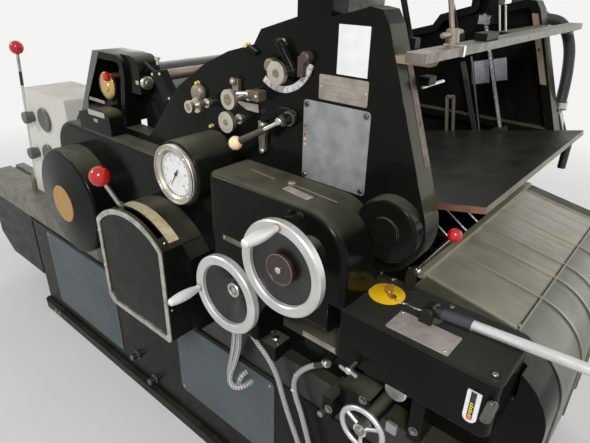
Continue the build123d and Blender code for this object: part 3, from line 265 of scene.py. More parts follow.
def plastic(name, base, roughness=0.12, metallic=0.0):
    """Moulded plastic with faint scratches."""
    finish = Finish(name, roughness, metallic)
    finish.colour(finish.mixed(finish.patches((30, 5), 0.4, 0.7, 0.0, 0.35), base,
            tuple(0.7 * c for c in base)))
    return finish.surface((90, 5), 0.4, 0.7, roughness, roughness + 0.15, (320, 3, (1, 1, 6)), 0.03)


def aged_plate(name, base, stain):
    """Thin metal plate with cloudy stains, dark specks and fine scratches."""
    roughness = 0.42
    finish = Finish(name, roughness, 0.55)
    clouds = finish.patches((26, 8), 0.38, 0.68)
    colour = finish.mixed(clouds, base, stain)
    specks = finish.patches((300, 3), 0.62, 0.7, 0.0, 0.5)
    finish.colour(finish.mixed(specks, colour, tuple(0.55 * c for c in stain)))
    return finish.surface((60, 5), 0.3, 0.7, roughness, roughness + 0.2, (240, 4), 0.05, 0.35)


def tick_marks(finish, centre, radius, depth, step_degrees, share=0.12):
    """Factor for radial marks about a centre, on the ring just inside a radius."""
    turn = finish.math("DIVIDE", finish.angle_about(centre), math.radians(step_degrees))
    saw = finish.math("FRACT", finish.math("ADD", turn, 200.0))
    mark = finish.math("LESS_THAN", saw, share)
    away = finish.distance_from(centre)
    ring = finish.math("MULTIPLY", finish.math("GREATER_THAN", away, (radius - depth) * MM),
            finish.math("LESS_THAN", away, radius * MM))
    return finish.math("MULTIPLY", mark, ring)


# The third colour of each enamel goes on faces that look up: dusty, and painted lighter by light from above.
black_enamel = enamel("black_enamel", (0.0040, 0.0045, 0.0036), (0.008, 0.009, 0.006),
        (0.105, 0.100, 0.070), dust_and_top_light_most=0.9)
# The frames' enamel adds a painted olive sheen on their leaning edges.
frame_enamel = enamel("frame_enamel", (0.0040, 0.0045, 0.0036), (0.008, 0.009, 0.006),
        (0.105, 0.100, 0.070), dust_and_top_light_most=0.9, lean_painted_sheen=(0.045, 0.043, 0.027))
base_enamel = enamel("base_enamel", (0.006, 0.0065, 0.005), (0.013, 0.013, 0.010), (0.075, 0.070, 0.050),
        roughness=0.25)
lid_enamel = enamel("lid_enamel", (0.014, 0.015, 0.012), (0.024, 0.025, 0.020), (0.055, 0.054, 0.042),
        roughness=0.2)
panel_enamel = enamel("panel_enamel", (0.105, 0.125, 0.135), (0.085, 0.10, 0.105), (0.16, 0.15, 0.13),
        roughness=0.38, wear=(0.05, 0.05, 0.045))
grey_enamel = enamel("grey_enamel", (0.15, 0.155, 0.145), (0.12, 0.125, 0.115), (0.2, 0.19, 0.17),
        roughness=0.35, wear=(0.05, 0.05, 0.045))
cream_enamel = enamel("cream_enamel", (0.70, 0.69, 0.64), (0.62, 0.60, 0.54), (0.48, 0.43, 0.34),
        roughness=0.3, wear=(0.25, 0.22, 0.18))
bright_steel = steel("bright_steel", (0.55, 0.54, 0.51), (0.24, 0.22, 0.19))
dull_steel = steel("dull_steel", (0.30, 0.29, 0.26), (0.12, 0.11, 0.09), 0.4, stain_share=0.7)
oily_steel = steel("oily_steel", (0.16, 0.155, 0.14), (0.05, 0.045, 0.035), 0.3, stain_share=0.8)
satin_aluminium = steel("satin_aluminium", (0.66, 0.66, 0.65), (0.42, 0.41, 0.39), 0.3, (1, 12, 1),
        stain_share=0.3)
knob_metal = steel("knob_metal", (0.60, 0.56, 0.48), (0.30, 0.26, 0.20), 0.32, stain_share=0.6)
knob_metal_dark = steel("knob_metal_dark", (0.30, 0.26, 0.20), (0.13, 0.10, 0.07), 0.36, stain_share=0.7,
        metallic=0.8)
brown_metal = steel("brown_metal", (0.33, 0.26, 0.20), (0.15, 0.105, 0.07), 0.42, stain_share=0.7,
        metallic=0.6)
brown_sleeve = steel("brown_sleeve", (0.062, 0.045, 0.035), (0.030, 0.021, 0.016), 0.4, metallic=0.2)
handle_aluminium = steel("handle_aluminium", (0.74, 0.74, 0.72), (0.56, 0.55, 0.53), 0.4,
        stain_share=0.25, metallic=0.4)
brass = steel("brass", (0.62, 0.44, 0.17), (0.28, 0.18, 0.07), 0.28)
pale_brass = steel("pale_brass", (0.82, 0.70, 0.36), (0.55, 0.42, 0.16), 0.32, stain_share=0.25,
        metallic=0.7)
dark_disc = steel("dark_disc", (0.12, 0.12, 0.115), (0.06, 0.058, 0.052), 0.35, metallic=0.3)
ledge_enamel = enamel("ledge_enamel", (0.030, 0.028, 0.019), (0.045, 0.042, 0.028), (0.105, 0.100, 0.070),
        dust_and_top_light_most=0.9)
red_plastic = plastic("red_plastic", (0.50, 0.012, 0.010))
ivory_plastic = plastic("ivory_plastic", (0.86, 0.70, 0.40), 0.18)
hub_brown = plastic("hub_brown", (0.024, 0.015, 0.011), 0.35)
dark_glass = plastic("dark_glass", (0.020, 0.018, 0.014), 0.08)
orange_paint = plastic("orange_paint", (0.70, 0.16, 0.01), 0.3)
guard_bar_paint = plastic("guard_bar_paint", (0.315, 0.30, 0.215), 0.38, 0.2)
black_plastic = plastic("black_plastic", (0.012, 0.012, 0.012), 0.25)
yellow_plastic = plastic("yellow_plastic", (0.85, 0.52, 0.01), 0.25)
yellow_paint = plastic("yellow_paint", (0.80, 0.62, 0.02), 0.35)
white_card = plastic("white_card", (0.80, 0.80, 0.80), 0.35)
ochre_paint = plastic("ochre_paint", (0.42, 0.225, 0.055), 0.4)
dark_mark = plastic("dark_mark", (0.02, 0.02, 0.02), 0.5)
zinc_plate = aged_plate("zinc_plate", (0.335, 0.350, 0.345), (0.24, 0.255, 0.255))
tin_plate = aged_plate("tin_plate", (0.38, 0.34, 0.28), (0.24, 0.21, 0.17))
silver_plate = aged_plate("silver_plate", (0.52, 0.47, 0.44), (0.40, 0.35, 0.32))
olive_plate = aged_plate("olive_plate", (0.17, 0.165, 0.125), (0.10, 0.095, 0.070))
worn_strip = aged_plate("worn_strip", (0.15, 0.112, 0.092), (0.085, 0.064, 0.052))
lilac_plate = aged_plate("lilac_plate", (0.42, 0.40, 0.44), (0.32, 0.30, 0.34))


def ivory_scale():
    """Ivory band with graduations along its edge towards the operator."""
    finish = Finish("ivory_scale", 0.3)
    centre = (87.0, 778.0)
    radius = 250.0
    aged = finish.patches((20, 6), 0.4, 0.7)
    colour = finish.mixed(aged, (0.66, 0.57, 0.38), (0.46, 0.36, 0.20))
    fine = tick_marks(finish, centre, radius, 12, 1.4, 0.18)
    coarse = tick_marks(finish, centre, radius, 12, 7.0, 0.07)
    y = finish.axis(finish.place, "Y")
    fine = finish.math("MULTIPLY", fine, finish.between(y, -0.660, -0.659, 1.0, 0.0))
    coarse = finish.math("MULTIPLY", coarse, finish.between(y, -0.655, -0.654, 1.0, 0.0))
    colour = finish.mixed(finish.math("MULTIPLY", finish.math("MAXIMUM", fine, coarse), 0.65), colour,
            (0.06, 0.05, 0.035))
    finish.colour(colour)
    finish.bump(finish.noise(60, 4), 0.1, 0.3)
    return finish.material


def plate_cover_finish():
    """Black enamel with a bright border on the front."""
    finish = Finish("plate_cover_finish")
    y = finish.axis(finish.place, "Y")
    border = finish.math("LESS_THAN", y, (cover_face_y - 0.6) * MM)
    patches = finish.patches((5, 5), 0.35, 0.7)
    black = finish.mixed(patches, (0.0045, 0.005, 0.004), (0.010, 0.010, 0.007))
    # Faces that look up are dusty and take a painted light from above.
    black = finish.mixed(finish.dust_and_top_light(7.0, 0.85), black, (0.105, 0.100, 0.070))
    metal = finish.mottled((30, 6), 0.4, 0.7, (0.55, 0.53, 0.48), (0.30, 0.28, 0.23))
    finish.colour(finish.mixed(border, black, metal))
    finish.metal(finish.math("MULTIPLY", border, 0.8))
    finish.shine(0.12)
    return finish.surface((18, 6), 0.35, 0.75, 0.2, 0.42, (420, 3), 0.10, 0.4)


def wheel_finish(name, centre, radius, hub_colour, hub_radius):
    """Handwheel with a bright rim, a black web and a coloured hub ring."""
    finish = Finish(name)
    away = finish.distance_from(centre)
    rim = finish.math("GREATER_THAN", away, (radius - 24.5) * MM)
    hub = finish.math("LESS_THAN", away, hub_radius * MM)
    web = finish.mottled((12, 6), 0.4, 0.7, (0.006, 0.006, 0.0055), (0.018, 0.017, 0.014))
    stained = finish.patches((16, 6), 0.4, 0.72)
    metal = finish.mixed(stained, (0.60, 0.60, 0.58), (0.50, 0.49, 0.46))
    colour = finish.mixed(rim, web, metal)
    finish.colour(finish.mixed(hub, colour, hub_colour))
    finish.metal(finish.math("MULTIPLY", rim, 0.55))
    return finish.surface((30, 5), 0.35, 0.7, 0.30, 0.42, (200, 4), 0.04)


def spindle_thread_finish():
    """Steel spindle whose thread shows as fine rings."""
    finish = Finish("spindle_thread", 0.3, 0.9)
    height = finish.math("MULTIPLY", finish.axis(finish.place, "Z"), 1.0 / (4.2 * MM))
    ring = finish.math("FRACT", height)
    groove = finish.between(finish.math("ABSOLUTE", finish.math("SUBTRACT", ring, 0.5)), 0.15, 0.4)
    finish.colour(finish.mixed(groove, (0.62, 0.61, 0.58), (0.07, 0.065, 0.055)))
    finish.bump(groove, -1.2, 0.8)
    return finish.material


def board_finish():
    """Pile board: dark worn top, a copper-brown strip on its near edge and dull metal at its end."""
    finish = Finish("board_finish", 0.3)
    finish.shine(0.1)
    near = finish.between(finish.axis(finish.normal, "Y"), -0.5, -0.8)
    near = finish.math("MULTIPLY", near, finish.math("LESS_THAN", finish.axis(finish.place, "Y"), -0.40))
    end = finish.between(finish.axis(finish.normal, "X"), 0.6, 0.85)
    top = finish.mottled((5, 7), 0.35, 0.7, (0.012, 0.013, 0.010), (0.028, 0.027, 0.021))
    scuffs = finish.patches((60, 6, (1, 6, 1)), 0.60, 0.70, 0.0, 0.35)
    top = finish.mixed(scuffs, top, (0.06, 0.058, 0.05))
    copper = finish.mottled((24, 5), 0.4, 0.7, (0.36, 0.17, 0.11), (0.20, 0.10, 0.07))
    metal = finish.mottled((24, 5), 0.4, 0.7, (0.155, 0.145, 0.095), (0.10, 0.095, 0.062))
    colour = finish.mixed(near, top, copper)
    finish.colour(finish.mixed(end, colour, metal))
    finish.metal(finish.math("MULTIPLY", finish.math("MAXIMUM", near, end), 0.6))
    return finish.surface((14, 6), 0.35, 0.75, 0.3, 0.5, (180, 4), 0.06)


def guard_finish(name, near_tone, far_tone, grease):
    """Painted guard sheet: darker near the operator, greasy in blotches, with painted highlights on thin
    ridges.
    """
    finish = Finish(name, 0.4, 0.15)
    y = finish.axis(finish.place, "Y")
    across = finish.math("ADD", y, finish.patches((2.2, 5), 0.3, 0.7, -0.16, 0.16))
    colour = finish.mixed(finish.between(across, -0.30, 0.22), near_tone, far_tone)
    blotches = finish.patches((5.5, 8), 0.46, 0.66, 0.0, 0.6)
    colour = finish.mixed(blotches, colour, grease)
    streaks = finish.patches((9, 6, (0.5, 5, 1)), 0.52, 0.68, 0.0, 0.45)
    colour = finish.mixed(streaks, colour, grease)
    # Painted highlights along the thin ridges of the sheet.
    ridge_highlight = None
    for ridge_y in (-194.5, -71.5, 19.5, 164.5):
        off = finish.math("ABSOLUTE", finish.math("SUBTRACT", y, ridge_y * MM))
        ridge_highlight_here = finish.between(off, 0.0014, 0.0030, 1.0, 0.0)
        ridge_highlight = ridge_highlight_here if ridge_highlight is None else finish.math("MAXIMUM", ridge_highlight, ridge_highlight_here)
    colour = finish.mixed(finish.math("MULTIPLY", ridge_highlight, 0.8), colour, (0.36, 0.34, 0.26))
    finish.colour(colour)
    finish.rough(finish.patches((12, 7), 0.35, 0.7, 0.30, 0.52))
    finish.bump(finish.noise(3, 3), 3.0, 0.15)
    finish.bump(finish.noise(200, 4), 0.05, 0.3)
    return finish.material


def lever_metal(finish):
    """Stained bright steel of the levers."""
    stains = finish.patches((16, 6), 0.4, 0.72)
    return finish.mixed(stains, (0.55, 0.54, 0.51), (0.30, 0.28, 0.24))


def ball_lever(name, centre, radius, dark_below=-1.0, pale_below=-1.0):
    """Steel lever whose end is a red ball. Its arm can be dark, and then pale, below two heights."""
    finish = Finish(name)
    away = finish.node("ShaderNodeVectorMath", {"operation": "DISTANCE"})
    finish.feed(away.inputs[0], finish.place)
    away.inputs[1].default_value = tuple(c * MM for c in centre)
    ball = finish.math("LESS_THAN", away.outputs["Value"], (radius + 0.8) * MM)
    metal = lever_metal(finish)
    height = finish.axis(finish.place, "Z")
    painted = finish.math("LESS_THAN", height, dark_below * MM)
    metal = finish.mixed(painted, metal, (0.018, 0.018, 0.016))
    metal = finish.mixed(finish.math("LESS_THAN", height, pale_below * MM), metal, (0.55, 0.54, 0.49))
    finish.colour(finish.mixed(ball, metal, (0.50, 0.012, 0.010)))
    coated = finish.math("MAXIMUM", ball, painted)
    finish.metal(finish.math("SUBTRACT", 1.0, coated))
    return finish.surface((60, 5), 0.35, 0.7, 0.14, 0.32, (220, 3), 0.03)


def dark_hub_lever(name, centre, radius):
    """Steel lever whose hub is black."""
    finish = Finish(name)
    hub = finish.math("LESS_THAN", finish.distance_from(centre), radius * MM)
    metal = lever_metal(finish)
    finish.colour(finish.mixed(hub, metal, (0.010, 0.010, 0.009)))
    finish.metal(finish.math("SUBTRACT", 1.0, hub))
    return finish.surface((60, 5), 0.35, 0.7, 0.2, 0.38, (220, 3), 0.03)


def feed_lever_finish():
    """Feed lever: dark hub, violet-grey sleeve and a satin aluminium pipe."""
    finish = Finish("feed_lever_finish")
    x = finish.axis(finish.place, "X")
    sleeve = finish.math("LESS_THAN", x, 1.063)
    hub = finish.math("LESS_THAN", x, 1.0)
    stains = finish.patches((14, 6, (1, 3, 3)), 0.4, 0.7)
    pipe = finish.mixed(stains, (0.64, 0.64, 0.63), (0.50, 0.50, 0.48))
    tube = finish.mixed(stains, (0.048, 0.048, 0.062), (0.034, 0.034, 0.043))
    colour = finish.mixed(sleeve, pipe, tube)
    finish.colour(finish.mixed(hub, colour, (0.012, 0.012, 0.011)))
    bare = finish.math("SUBTRACT", 1.0, sleeve)
    finish.metal(finish.math("MULTIPLY", bare, 0.4))
    return finish.surface((50, 5), 0.35, 0.7, 0.24, 0.40, (200, 3), 0.04)


def rail_finish():
    """Bed rails: worn grey-green iron on top of the overhanging end, black enamel beside and beyond it."""
    finish = Finish("rail_finish")
    bare = finish.between(finish.axis(finish.place, "X"), -0.50, -0.49, 1.0, 0.0)
    scratches = finish.patches((30, 6, (1, 9, 1)), 0.42, 0.66)
    iron = finish.mixed(scratches, (0.115, 0.115, 0.085), (0.19, 0.175, 0.135))
    patches = finish.patches((7, 7), 0.5, 0.68, 0.0, 0.7)
    iron = finish.mixed(patches, iron, (0.065, 0.052, 0.036))
    # Faces that look up are dusty and take a painted light from above.
    black = finish.mixed(finish.dust_and_top_light(7.0, 0.5), (0.006, 0.0065, 0.005), (0.085, 0.083, 0.055))
    finish.colour(finish.mixed(bare, black, iron))
    finish.metal(finish.math("MULTIPLY", bare, 0.35))
    return finish.surface((24, 6), 0.35, 0.7, 0.28, 0.5, (160, 4, (1, 4, 1)), 0.06, 0.35)


def crossbar_finish():
    """Crossbar: bare brownish metal at the near end and olive grey paint along the rest, with painted shade
    on top.
    """
    finish = Finish("crossbar_finish")
    bare = finish.between(finish.axis(finish.place, "Y"), -0.402, -0.398, 1.0, 0.0)
    stains = finish.patches((20, 6), 0.4, 0.7)
    metal = finish.mixed(stains, (0.20, 0.17, 0.145), (0.12, 0.10, 0.085))
    paint = finish.mixed(stains, (0.155, 0.145, 0.105), (0.115, 0.105, 0.075))
    # Painted shade darkens the faces that look up.
    top = finish.between(finish.axis(finish.normal, "Z"), 0.6, 0.9, 0.0, 0.7)
    paint = finish.mixed(top, paint, (0.030, 0.029, 0.022))
    finish.colour(finish.mixed(bare, paint, metal))
    finish.metal(finish.math("MULTIPLY", bare, 0.6))
    return finish.surface((40, 5), 0.35, 0.7, 0.32, 0.5, (180, 4), 0.06)


def quadrant_finish():
    """White enamelled quadrant with graduations."""
    finish = Finish("quadrant_finish", 0.35)
    centre = (514.0, 1503.0)
    white = finish.mottled((40, 5), 0.4, 0.7, (0.72, 0.72, 0.70), (0.58, 0.57, 0.53))
    marks = tick_marks(finish, centre, 98, 11, 11.0, 0.10)
    fine = tick_marks(finish, centre, 98, 5, 2.2, 0.22)
    finish.colour(finish.mixed(finish.math("MAXIMUM", marks, fine), white, (0.03, 0.03, 0.03)))
    return finish.material


def corrugated_rubber():
    """Dark rubber of the corrugated hose."""
    finish = Finish("corrugated_rubber", 0.55)
    finish.colour(finish.mixed(finish.noise(30, 5), (0.010, 0.011, 0.012), (0.026, 0.027, 0.027)))
    return finish.surface((60, 4), 0.3, 0.7, 0.45, 0.65, (300, 3), 0.08, 0.4)


def braid(name, light, dark, turns, pitch, share=0.5, crossed=True):
    """Woven sleeve from the hose's own length and girth coordinates. Its strands cross, or form a grid."""
    finish = Finish(name, 0.5)
    coordinates = finish.node("ShaderNodeUVMap", {"uv_map": "girth_length"}).outputs[0]
    girth = finish.math("MULTIPLY", finish.axis(coordinates, "X"), turns)
    run = finish.math("DIVIDE", finish.axis(coordinates, "Y"), pitch * MM)
    one_way = finish.math("ADD", girth, run) if crossed else girth
    other_way = finish.math("SUBTRACT", girth, run) if crossed else run
    first = finish.math("FRACT", finish.math("ADD", one_way, 100.0))
    second = finish.math("FRACT", finish.math("ADD", other_way, 100.0))
    ridge_one = finish.between(finish.math("ABSOLUTE", finish.math("SUBTRACT", first, 0.5)), 0.1, 0.5)
    ridge_two = finish.between(finish.math("ABSOLUTE", finish.math("SUBTRACT", second, 0.5)), 0.1, 0.5)
    gap = finish.between(finish.math("MAXIMUM", ridge_one, ridge_two), share, share + 0.35)
    finish.colour(finish.mixed(gap, light, dark))
    finish.bump(gap, -0.6, 0.7)
    return finish.material


scale_finish = ivory_scale()
cover_finish = plate_cover_finish()
large_wheel_finish = wheel_finish("large_wheel_finish", (large_wheel_x, large_wheel_z), 108.0,
        (0.03, 0.02, 0.015), 30.0)
small_wheel_finish = wheel_finish("small_wheel_finish", (small_wheel_x, small_wheel_z), 101.0,
        (0.012, 0.012, 0.011), 27.0)
throw_off_finish = ball_lever("throw_off_finish", (-1113.0, -436.0, 1347.0), 29.0, 1243.0, 1180.0)
delivery_lever_finish = ball_lever("delivery_lever_finish", (966.0, -445.0, 1168.0), 15.5)
trip_lever_finish = dark_hub_lever("trip_lever_finish", (trip_hub_x, trip_hub_z), 20.0)
feed_tube_finish = feed_lever_finish()
rails_finish = rail_finish()
bar_finish = crossbar_finish()
thread_finish = spindle_thread_finish()
pile_board_finish = board_finish()
delivery_finish = guard_finish("guard_finish", (0.25, 0.235, 0.185), (0.42, 0.40, 0.33),
        (0.17, 0.158, 0.118))
nose_finish = guard_finish("nose_finish", (0.125, 0.130, 0.098), (0.20, 0.19, 0.15), (0.075, 0.082, 0.058))
quadrant_paint = quadrant_finish()
hose_rubber = corrugated_rubber()
white_braid = braid("white_braid", (0.50, 0.50, 0.48), (0.14, 0.14, 0.13), 5.0, 9.0)
grid_braid = braid("grid_braid", (0.62, 0.62, 0.60), (0.015, 0.015, 0.015), 7.0, 8.0, 0.55, crossed=False)

NODE_FINISHES = {
    "base_frame": base_enamel, "base_panels": panel_enamel, "bed_extension": base_enamel,
    "bed_rails": rails_finish, "type_bed": oily_steel, "side_frame_near": frame_enamel,
    "side_frame_far": frame_enamel, "bearing_bosses": black_enamel, "impression_cylinder": oily_steel,
    "gear_casing": black_enamel, "drive_casing": black_enamel, "gear_cover": black_enamel,
    "gear_cover_cap": ochre_paint, "plate_cover": cover_finish, "speed_scale": scale_finish,
    "speed_lever": bright_steel, "speed_lever_ball": red_plastic, "gauge_barrel": black_enamel,
    "gauge_bezel": knob_metal, "gauge_dial": white_card, "handwheel_large": large_wheel_finish,
    "handwheel_small": small_wheel_finish, "handle_large": handle_aluminium,
    "handle_small": handle_aluminium, "wheel_spindles": black_enamel,
    "handwheel_lower": satin_aluminium, "ink_hoods": black_enamel, "ink_drum": black_plastic,
    "ink_bearings": black_enamel, "spray_unit": cream_enamel, "spray_knobs": dark_disc,
    "throw_off_lever": throw_off_finish, "throw_off_bracket": dull_steel,
    "trip_lever": trip_lever_finish, "trip_lever_ball": ivory_plastic, "lever_pins": dull_steel,
    "delivery_lever": delivery_lever_finish, "pile_board": pile_board_finish,
    "hoist_spindles": thread_finish, "feeder_brackets": brown_metal, "feeder_crossbar": bar_finish,
    "frame_tie": oily_steel, "feeder_head": base_enamel, "suction_hose": hose_rubber,
    "hose_fittings": black_plastic, "conduits": hose_rubber, "delivery_guard": delivery_finish,
    "delivery_nose": nose_finish, "delivery_cheeks": black_enamel, "control_box": black_enamel,
    "control_lid": lid_enamel, "feed_lever": feed_tube_finish, "frame_adjusters": knob_metal,
    "quadrant_scale": quadrant_paint, "register_ledge": ledge_enamel,
}

for node_name, material in NODE_FINISHES.items():
    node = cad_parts[node_name]
    node.data.materials.clear()
    node.data.materials.append(material)


# Mesh building

def stand(foot, axis):
    """Matrix that stands a shape on a point, with its own Z along an axis."""
    turn = Vector(axis).to_track_quat("Z", "Y").to_matrix().to_4x4()
    return Matrix.Translation(Vector(foot)) @ turn


class Shapes:
    """Collects small shapes into one mesh. Every shape gives the collection back."""

    def __init__(self):
        self.mesh = bmesh.new()

    def rings(self, circles, material=0, joined=False):
        """Skin over a row of rings with as many points each. It is capped, or joined back to its first."""
        rows = [[self.mesh.verts.new(point) for point in circle] for circle in circles]
        if joined:
            rows.append(rows[0])
        count = len(rows[0])
        for low, high in zip(rows, rows[1:]):
            for i in range(count):
                j = (i + 1) % count
                face = self.mesh.faces.new((low[i], low[j], high[j], high[i]))
                face.material_index = material
        if not joined:
            self.mesh.faces.new(list(reversed(rows[0]))).material_index = material
            self.mesh.faces.new(rows[-1]).material_index = material
        return self

    def turned(self, foot, axis, profile, sides=28, ring=False):
        """Turned shape on a point, from (radius, height) steps along an axis. A ring has an open middle."""
        place = stand(foot, axis)
        circles = []
        for radius, height in profile:
            radius = max(radius, 0.02)
            circles.append([place @ Vector((radius * math.cos(t), radius * math.sin(t), height))
                    for t in (2 * math.pi * i / sides for i in range(sides))])
        return self.rings(circles, joined=ring)

    def rod(self, start, end, radius, sides=20):
        """Round rod with small chamfers."""
        along = Vector(end) - Vector(start)
        length = along.length
        chamfer = min(0.25 * radius, 0.25 * length)
        return self.turned(start, along, [(radius - chamfer, 0), (radius, chamfer),
                (radius, length - chamfer), (radius - chamfer, length)], sides)

    def prism(self, outline, place, thickness):
        """Flat outline with a thickness, put in place by a matrix."""
        low = [place @ Vector((x, y, 0)) for x, y in outline]
        high = [place @ Vector((x, y, thickness)) for x, y in outline]
        return self.rings([low, high])

    def plate(self, centre, normal, width, height, thickness, corner=3.0, turn=0.0):
        """Thin plate with round corners. Its width is along X, or along Y on a face that looks along X."""
        axis = Vector(normal).normalized()
        across = Vector((0, 1, 0)) if abs(axis.x) > 0.8 else Vector((1, 0, 0))
        across = (across - axis * across.dot(axis)).normalized()
        upward = axis.cross(across)
        if upward.z < -0.01 or (abs(upward.z) <= 0.01 and upward.y < 0):
            upward = -upward
            across = -across
        spin = Matrix.Rotation(math.radians(turn), 4, axis)
        basis = Matrix((across, upward, axis)).transposed().to_4x4()
        place = Matrix.Translation(Vector(centre)) @ spin @ basis
        return self.prism(round_corners(width, height, corner), place, thickness)

    def block(self, low, high):
        """Straight block from its lowest to its highest corner."""
        outline = [(low[0], low[1]), (high[0], low[1]), (high[0], high[1]), (low[0], high[1])]
        return self.prism(outline, Matrix.Translation((0, 0, low[2])), high[2] - low[2])

    def hex_bolt(self, foot, axis, radius, washer=True):
        """Hexagon head on a washer."""
        if washer:
            self.turned(foot, axis, [(radius * 1.5, 0), (radius * 1.5, radius * 0.2)], 24)
        start = 0.2 * radius if washer else 0.0
        return self.turned(foot, axis, [(radius, start), (radius, radius * 0.9), (radius * 0.8, radius)], 6)

    def socket_screw(self, foot, axis, radius):
        """Round screw head with a socket."""
        return self.turned(foot, axis, [(radius, 0), (radius, radius * 0.5),
                (radius * 0.82, radius * 0.7), (radius * 0.45, radius * 0.7),
                (radius * 0.42, radius * 0.25), (0.0, radius * 0.25)], 18)

    def dome_screw(self, foot, axis, radius):
        """Low domed screw head."""
        steps = [(radius, 0), (radius, radius * 0.15), (radius * 0.8, radius * 0.4),
                (radius * 0.4, radius * 0.52), (0.0, radius * 0.55)]
        return self.turned(foot, axis, steps, 18)

    def finish(self, name, material, slot="bright_steel", body="machine", bevel=0.0):
        """Makes the collected shapes into one piece that rides on a body."""
        bmesh.ops.recalc_face_normals(self.mesh, faces=self.mesh.faces)
        bmesh.ops.scale(self.mesh, vec=(MM, MM, MM), verts=self.mesh.verts)
        data = bpy.data.meshes.new(name)
        self.mesh.to_mesh(data)
        self.mesh.free()
        for finish in material if isinstance(material, tuple) else (material,):
            data.materials.append(finish)
        data.polygons.foreach_set("use_smooth", [True] * len(data.polygons))
        data.set_sharp_from_angle(angle=math.radians(32))
        piece = bpy.data.objects.new(name, data)
        bpy.context.scene.collection.objects.link(piece)
        if bevel:
            rounding = piece.modifiers.new("rounding", "BEVEL")
            rounding.width = bevel * MM
            rounding.segments = 2
            rounding.limit_method = "ANGLE"
            rounding.angle_limit = math.radians(40)
            rounding.harden_normals = True
        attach(piece, body)
        return piece


def round_corners(width, height, corner, steps=5):
    """Outline of a rectangle about its middle with rounded corners."""
    points = []
    for corner_x, corner_y, start in ((1, -1, -90), (1, 1, 0), (-1, 1, 90), (-1, -1, 180)):
        centre_x = corner_x * (width / 2 - corner)
        centre_y = corner_y * (height / 2 - corner)
        for i in range(steps + 1):
            angle = math.radians(start + 90 * i / steps)
            points.append((centre_x + corner * math.cos(angle), centre_y + corner * math.sin(angle)))
    return points


def smooth_line(points, spacing=4.0):
    """Points along the smooth curve of a hose, read from its spline."""
    curve = bpy.data.curves.new("route", "CURVE")
    curve.dimensions = "3D"
    spline = curve.splines.new("NURBS")
    spline.points.add(len(points) - 1)
    for spline_point, point in zip(spline.points, points):
        spline_point.co = (*point, 1)
    spline.order_u = 3
    spline.use_endpoint_u = True
    spline.resolution_u = 12
    route = bpy.data.objects.new("route", curve)
    drawn = bpy.data.meshes.new_from_object(route)
    line = [v.co.copy() for v in drawn.vertices]
    bpy.data.objects.remove(route)
    bpy.data.meshes.remove(drawn)
    even = [line[0]]
    carried = 0.0
    for start, end in zip(line, line[1:]):
        length = (end - start).length
        while carried + length >= spacing and length > 0:
            start = start.lerp(end, (spacing - carried) / length)
            even.append(start)
            length = (end - start).length
            carried = 0.0
        carried += length
    even.append(line[-1])
    return even


def tube_along(shapes, line, radius_at, sides=20, material=0):
    """Tube along a line of points. radius_at gives the radius from the length so far."""
    uv = shapes.mesh.loops.layers.uv.get("girth_length") or shapes.mesh.loops.layers.uv.new("girth_length")
    side = (line[1] - line[0]).orthogonal().normalized()
    circles = []
    lengths = []
    run = 0.0
    for i, point in enumerate(line):
        ahead = line[min(i + 1, len(line) - 1)] - line[max(i - 1, 0)]
        ahead.normalize()
        side = (side - ahead * side.dot(ahead)).normalized()
        other = ahead.cross(side)
        if i:
            run += (point - line[i - 1]).length
        radius = radius_at(run)
        circles.append([point + (side * math.cos(t) + other * math.sin(t)) * radius
                for t in (2 * math.pi * k / sides for k in range(sides))])
        lengths.append(run)
    before = len(shapes.mesh.faces)
    shapes.rings(circles, material=material)
    shapes.mesh.faces.ensure_lookup_table()
    for index in range(before, before + (len(line) - 1) * sides):
        row, k = divmod(index - before, sides)
        corners = ((k, row), (k + 1, row), (k + 1, row + 1), (k, row + 1))
        for loop, (girth, step) in zip(shapes.mesh.faces[index].loops, corners):
            loop[uv].uv = (girth / sides, lengths[step] * MM)


def number(shapes, text, centre, size):
    """Small flat number on a face that looks at the operator."""
    font = bpy.data.curves.new("number", "FONT")
    font.body = text
    font.size = size
    font.align_x = "CENTER"
    font.align_y = "CENTER"
    font.extrude = 0.15
    font.resolution_u = 3
    holder = bpy.data.objects.new("number", font)
    drawn = bpy.data.meshes.new_from_object(holder)
    turn = Matrix.Rotation(math.radians(90), 4, "X")
    drawn.transform(Matrix.Translation(Vector(centre)) @ turn)
    shapes.mesh.from_mesh(drawn)
    bpy.data.objects.remove(holder)
    bpy.data.meshes.remove(drawn)


# Gauge

